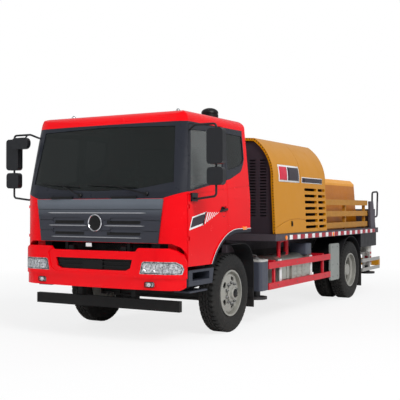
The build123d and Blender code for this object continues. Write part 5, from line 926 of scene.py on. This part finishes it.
def hood_fittings():
    """Edge bolts, blank signs and a latch on each wing of the hood."""
    for side, name in sides():
        body = f"hood_wing_{name}"
        bolts = bmesh.new()
        bolt = [(0.008, -0.001), (0.008, 0.004), (0.005, 0.007), (0.0, 0.008)]
        for y, z in hood_path(0.014, 0.040):
            spun(bolts, bolt, (HOOD_FRONT, side * y, z), (1, 0, 0), steps=8)
        piece(f"hood_bolts_{name}", bolts, TRIM_BLACK, body)
        for sign, *rest in HOOD_SIGNS:
            hood_sign(f"{sign}_{name}", side, body, *rest)
        latch = bmesh.new()
        y = hood_y(1.37)
        slab(latch, (FX - 1.80, side * (y - 0.002), 1.332), (FX - 1.755, side * (y + 0.010), 1.412), 0.005)
        knob = [(0.012, 0.0), (0.012, 0.008), (0.0, 0.010)]
        spun(latch, knob, (FX - 1.777, side * (y + 0.008), 1.392), (0, side, 0), steps=14)
        slab(latch, (FX - 1.785, side * (y + 0.008), 1.342), (FX - 1.770, side * (y + 0.020), 1.385), 0.003)
        piece(f"hood_latch_{name}", latch, TRIM_BLACK, body)


# ---------------------------------------------------------------- deck edge and under it
TAPE_FOOT, TAPE_TOP = 1.142, 1.208
TAPE_PITCH = 0.30


def deck_markings():
    """White and red tape along the deck's edge, and round marker lamps."""
    front, rear = FX - 1.62, low("deck").x + 0.03
    for side, name in sides():
        white, red, amber = bmesh.new(), bmesh.new(), bmesh.new()
        y = side * DECK_Y
        near_y, far_y = y - side * 0.001, y + side * 0.003
        for n in range(int((front - rear) / TAPE_PITCH)):
            x = front - n * TAPE_PITCH
            slab(white, (x, near_y, TAPE_FOOT), (x - 0.115, far_y, TAPE_TOP), 0.001)
            slab(red, (x - 0.125, near_y, TAPE_FOOT), (x - 0.285, far_y, TAPE_TOP), 0.001)
        lens = [(0.034, 0.0), (0.034, 0.010), (0.026, 0.016), (0.0, 0.018)]
        for x in (FX - 1.49, FX - 3.47):
            spun(amber, lens, (x, y, 1.172), (0, side, 0), steps=24)
        piece(f"tape_white_{name}", white, PAINT_WHITE, "chassis")
        piece(f"tape_red_{name}", red, TAPE_RED, "chassis")
        piece(f"marker_lamps_{name}", amber, AMBER, "chassis")


def tank_fittings():
    """Straps, a studded step, a filler cap and an end box on the tank, and the pipes behind it."""
    tank_low, tank_high = low("fuel_tank"), high("fuel_tank")
    face = tank_high.y
    bm = bmesh.new()
    for x in (tank_high.x - 0.04, tank_low.x + 0.05):
        slab(bm, (x - 0.03, face - 0.03, 0.46), (x + 0.03, face + 0.008, 0.86), 0.006)
    piece("tank_straps", bm, PAINT_WHITE, "chassis")
    step = bmesh.new()
    stud = [(0.014, -0.001), (0.012, 0.004), (0.008, 0.004), (0.007, 0.0)]
    for n in range(3):
        x = tank_high.x - 0.42 - n * 0.20
        slab(step, (x, face - 0.01, 0.50), (x - 0.185, face + 0.020, 0.80), 0.006)
        for row in range(5):
            for column in range(3):
                spot = (x - 0.035 - column * 0.057, face + 0.020, 0.535 + row * 0.058)
                spun(step, stud, spot, (0, 1, 0), steps=10)
    piece("tank_step", step, MATERIALS["tank_silver"], "chassis")
    cap = bmesh.new()
    lid = [(0.055, -0.01), (0.055, 0.035), (0.045, 0.045), (0.0, 0.048)]
    spun(cap, lid, (tank_high.x - 0.55, face - 0.2, tank_high.z), (0, 0.2, 1), steps=28)
    piece("tank_cap", cap, TRIM_BLACK, "chassis")
    box = bmesh.new()
    slab(box, (tank_low.x + 0.06, face - 0.26, 0.875), (tank_low.x + 0.30, face + 0.01, 1.055), 0.012)
    piece("tank_end_box", box, MATERIALS["jack_grey"], "chassis")
    pipes = bmesh.new()
    for x, y in ((FX - 1.62, 1.06), (FX - 2.02, 1.00), (FX - 2.10, 0.98)):
        swept(pipes, [(x, y, 0.80), (x, y, 1.16)], 0.030, sides=12)
    swept(pipes, [(FX - 1.62, 1.06, 1.10), (FX - 1.9, 1.03, 1.13), (FX - 2.10, 0.98, 1.10)], 0.026, sides=12)
    piece("deck_pipes", pipes, MATERIALS["guard_red"], "chassis")


def guard_bolts():
    """Bolt heads on the end plates and along the side guards' rails."""
    bm = bmesh.new()
    for side, _ in sides():
        for columns, rows, r in (
            ((3.56, 3.79), (0.45, 0.65, 0.95), 0.011), ((1.3, 2.0, 2.7, 3.2), (0.502, 0.795), 0.010),
        ):
            head = [(r, -0.001), (r, 0.005), (0.0, 0.006)]
            for back in columns:
                for z in rows:
                    spun(bm, head, (FX - back, side * CAB_Y, z), (0, side, 0), steps=10)
    piece("guard_bolts", bm, BOLT_GREY, "chassis")


def rear_lamps():
    """Tail lamps, and the warning bands on the rear jacks."""
    red, amber, holders, bands = bmesh.new(), bmesh.new(), bmesh.new(), bmesh.new()
    locker = low("lockers").x
    jack = middle("jack_leg_rl")
    for side, _ in sides():
        slab(holders, (locker + 0.004, side * 0.80, 0.93), (locker - 0.020, side * 1.16, 1.07), 0.008)
        for lens, near_y, far_y in ((red, 0.815, 1.03), (amber, 1.045, 1.145)):
            slab(lens, (locker - 0.016, side * near_y, 0.945), (locker - 0.030, side * far_y, 1.055), 0.006)
        for z in (0.56, 0.64, 0.72):
            band = [(0.0862, z), (0.0868, z + 0.004), (0.0868, z + 0.036), (0.0862, z + 0.040)]
            spun(bands, band, (jack.x, side * abs(jack.y), 0), (0, 0, 1), steps=48)
    piece("rear_lamp_holders", holders, TRIM_BLACK, "chassis")
    piece("tail_lamps", red, LAMP_RED, "chassis")
    piece("turn_lamps", amber, AMBER, "chassis")
    piece("jack_bands", bands, TAPE_RED, "chassis")


def jack_fittings():
    """Bolts, a boss and a hose stub on each front jack's cap."""
    bm = bmesh.new()
    jack = middle("jack_leg_fl")
    cap_z = 0.89
    bolt = [(0.012, -0.002), (0.012, 0.012), (0.0, 0.014)]
    boss = [(0.045, -0.002), (0.045, 0.018), (0.038, 0.024), (0.0, 0.026)]
    for side, _ in sides():
        y = side * abs(jack.y)
        for dx, dy in ((-0.09, -0.06), (-0.09, 0.06), (0.09, -0.06), (0.09, 0.06)):
            spun(bm, bolt, (jack.x + dx, y + dy, cap_z), (0, 0, 1), steps=6)
        spun(bm, boss, (jack.x, y, cap_z), (0, 0, 1), steps=28)
        stub = ((-0.03, 0.0, 0.905), (-0.05, -0.03, 0.945), (-0.05, -0.16, 0.945))
        swept(bm, [(jack.x + dx, y + side * dy, z) for dx, dy, z in stub], 0.009, bend=0.02)
    piece("jack_caps", bm, BOLT_GREY, "chassis")


# ---------------------------------------------------------------- seats
VOXEL = 0.022
CLOTH_FRAMES = 12
CHANNELS = (0.25, 0.75)  # shares of a cushion's width
SEAT_YS = (-0.62, 0.62)


def apply_modifiers(obj):
    shape = obj.evaluated_get(bpy.context.evaluated_depsgraph_get())
    mesh = bpy.data.meshes.new_from_object(shape)
    obj.modifiers.clear()
    obj.data = mesh


def inflate(pad, most):
    """Blows a closed mesh up a little as cloth; no point moves further than most."""
    rest = [v.co.copy() for v in pad.data.vertices]
    cloth = pad.modifiers.new("cloth", "CLOTH")
    cloth.settings.use_pressure = True
    cloth.settings.uniform_pressure_force = 4
    cloth.settings.effector_weights.gravity = 0
    scene = bpy.context.scene
    for tick in range(1, CLOTH_FRAMES + 1):
        scene.frame_set(tick)
    shape = pad.evaluated_get(bpy.context.evaluated_depsgraph_get()).data
    swollen = [v.co.copy() for v in shape.vertices]
    pad.modifiers.remove(cloth)
    scene.frame_set(1)
    for vertex, start, end in zip(pad.data.vertices, rest, swollen):
        shift = end - start
        if shift.length > most:
            shift *= most / shift.length
        vertex.co = start + shift


def cushion(name, near, far, crown):
    """A padded block: remeshed, blown up by as much as crown, then smoothed, with its channels pressed in."""
    bm = bmesh.new()
    inset = Vector((crown, crown, crown))
    slab(bm, Vector(near) + inset, Vector(far) - inset, 0.03)
    pad = piece(name, bm, MATERIALS["seat_cloth"], "cab", sharp=180)
    remesh = pad.modifiers.new("even", "REMESH")
    remesh.mode = "VOXEL"
    remesh.voxel_size = VOXEL
    apply_modifiers(pad)
    inflate(pad, crown)
    lows = Vector([min(v.co[i] for v in pad.data.vertices) for i in range(3)])
    highs = Vector([max(v.co[i] for v in pad.data.vertices) for i in range(3)])
    for vertex in pad.data.vertices:
        share = (vertex.co.y - lows.y) / (highs.y - lows.y)
        dip = sum(max(0.0, 1 - abs(share - line) / 0.035) for line in CHANNELS)
        towards = (lows + highs) / 2 - vertex.co
        vertex.co += towards.normalized() * 0.008 * dip
    pad.modifiers.new("smooth", "SUBSURF").levels = 1
    apply_modifiers(pad)
    return pad


def seats():
    """Padded seats with head rests, on their bases, in place of the plain ones."""
    hinge = Vector((FX + 0.02, 0, 1.6))
    tilt = Matrix.Translation(hinge) @ Matrix.Rotation(radians(-8), 4, "Y") @ Matrix.Translation(-hinge)
    shown = []
    for number, y in enumerate(SEAT_YS, 1):
        # name, front and rear, half width, foot and top, crown, whether it leans
        for name, rear, front, half, foot, top, crown, leans in (
            ("seat_cushion", 0.06, 0.56, 0.25, 1.54, 1.70, 0.012, False),
            ("seat_back", -0.075, 0.065, 0.24, 1.60, 2.02, 0.012, True),
            ("head_rest", -0.075, 0.035, 0.14, 2.035, 2.17, 0.010, True),
        ):
            pad = cushion(f"{name}_{number}", (FX + rear, y - half, foot), (FX + front, y + half, top), crown)
            if leans:
                pad.data.transform(tilt)
            shown.append(pad)
    bases = bmesh.new()
    for y in SEAT_YS:
        slab(bases, (FX + 0.08, y - 0.21, low("seats").z), (FX + 0.52, y + 0.21, 1.50), 0.02)
        slab(bases, (FX + 0.04, y - 0.24, 1.49), (FX + 0.55, y + 0.24, 1.545), 0.015)
        for post_y in (y - 0.06, y + 0.06):
            swept(bases, [(FX - 0.03, post_y, 1.98), (FX - 0.055, post_y, 2.08)], 0.007)
    for made in (piece("seat_bases", bases, TRIM_BLACK, "cab"), *shown):
        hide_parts("seats")


wheels()
grille_brightwork()
wipers()
number_plate()
radiator()
head_lamps()
door_fittings()
roof_fittings()
hood_fittings()
deck_markings()
tank_fittings()
guard_bolts()
rear_lamps()
jack_fittings()
seats()


# ---------------------------------------------------------------- studio
FLOOR_NEAR, FLOOR_FAR = 4.0, 9.5  # where the floor keeps the shadow, and where it has faded to white


def show_mixed(tree, output, factor, first, second):
    """Ends a node tree in a mix of two shaders."""
    mix = tree.nodes.new("ShaderNodeMixShader")
    for socket, value in zip(mix.inputs, (factor, first.outputs[0], second.outputs[0])):
        tree.links.new(value, socket)
    tree.links.new(mix.outputs[0], tree.nodes.new(output).inputs[0])


def studio():
    """A pale floor that fades to white, a white surround and soft lamps."""
    scene = bpy.context.scene
    scene.view_settings.view_transform = "Standard"
    world = bpy.data.worlds.new("surround")
    scene.world = world
    world.use_nodes = True
    tree = world.node_tree
    tree.nodes.clear()
    rays = tree.nodes.new("ShaderNodeLightPath")
    seen = maths(tree, "MAXIMUM", rays.outputs["Is Camera Ray"], rays.outputs["Is Transmission Ray"])
    seen = maths(tree, "MAXIMUM", seen, maths(tree, "MULTIPLY", rays.outputs["Is Glossy Ray"], 0.35))
    ambient = node_of(tree, "ShaderNodeBackground", Color=srgb(236, 240, 246), Strength=0.42)
    white = node_of(tree, "ShaderNodeBackground", Color=(1.0, 1.0, 1.0, 1.0), Strength=1.0)
    show_mixed(tree, "ShaderNodeOutputWorld", seen, ambient, white)

    bpy.ops.mesh.primitive_plane_add(size=160)
    floor = bpy.context.object
    floor.name = "floor"
    paint = bpy.data.materials.new("floor")
    paint.use_nodes = True
    tree = paint.node_tree
    tree.nodes.clear()
    rays = tree.nodes.new("ShaderNodeLightPath")
    matt = node_of(tree, "ShaderNodeBsdfDiffuse", Color=srgb(232, 232, 232))
    bright = node_of(tree, "ShaderNodeEmission", Color=(1.0, 1.0, 1.0, 1.0), Strength=1.0)
    away = tree.nodes.new("ShaderNodeVectorMath")
    away.operation = "LENGTH"
    tree.links.new(tree.nodes.new("ShaderNodeTexCoord").outputs["Object"], away.inputs[0])
    share = ranged(tree, away.outputs["Value"], FLOOR_NEAR, FLOOR_FAR, 0.8, 1.0)
    shown = maths(tree, "MAXIMUM", rays.outputs["Is Camera Ray"], rays.outputs["Is Transmission Ray"])
    show_mixed(tree, "ShaderNodeOutputMaterial", maths(tree, "MULTIPLY", shown, share), matt, bright)
    floor.data.materials.append(paint)

    # name, place, width, power
    for name, spot, width, power in (
        ("key", (9.0, 12.0, 12.0), 7.0, 2300),
        ("fill", (14.0, -6.0, 7.0), 7.0, 750),
        ("back", (-12.0, 4.0, 10.0), 9.0, 600),
    ):
        lamp = bpy.data.lights.new(name, "AREA")
        lamp.energy = power
        lamp.size = width
        lamp_object = bpy.data.objects.new(name, lamp)
        scene.collection.objects.link(lamp_object)
        lamp_object.location = spot
        lamp_object.visible_glossy = name == "key"
        lamp_object.rotation_euler = (Vector((0, 0, 1)) - Vector(spot)).to_track_quat("-Z", "Y").to_euler()


def camera():
    """The photograph's view: from the front left, at bonnet height, with a short telephoto lens."""
    lens = bpy.data.cameras.new("camera")
    lens.lens = 69.9
    lens.sensor_width = 36
    lens.clip_end = 300
    seen_from = bpy.data.objects.new("camera", lens)
    bpy.context.scene.collection.objects.link(seen_from)
    seen_from.location = (11.503, 5.738, 1.594)
    turn, tilt = radians(29.63), radians(0.65)
    gaze = Vector((-cos(turn) * cos(tilt), -sin(turn) * cos(tilt), sin(tilt)))
    seen_from.rotation_euler = gaze.to_track_quat("-Z", "Y").to_euler()
    bpy.context.scene.camera = seen_from


studio()
camera()
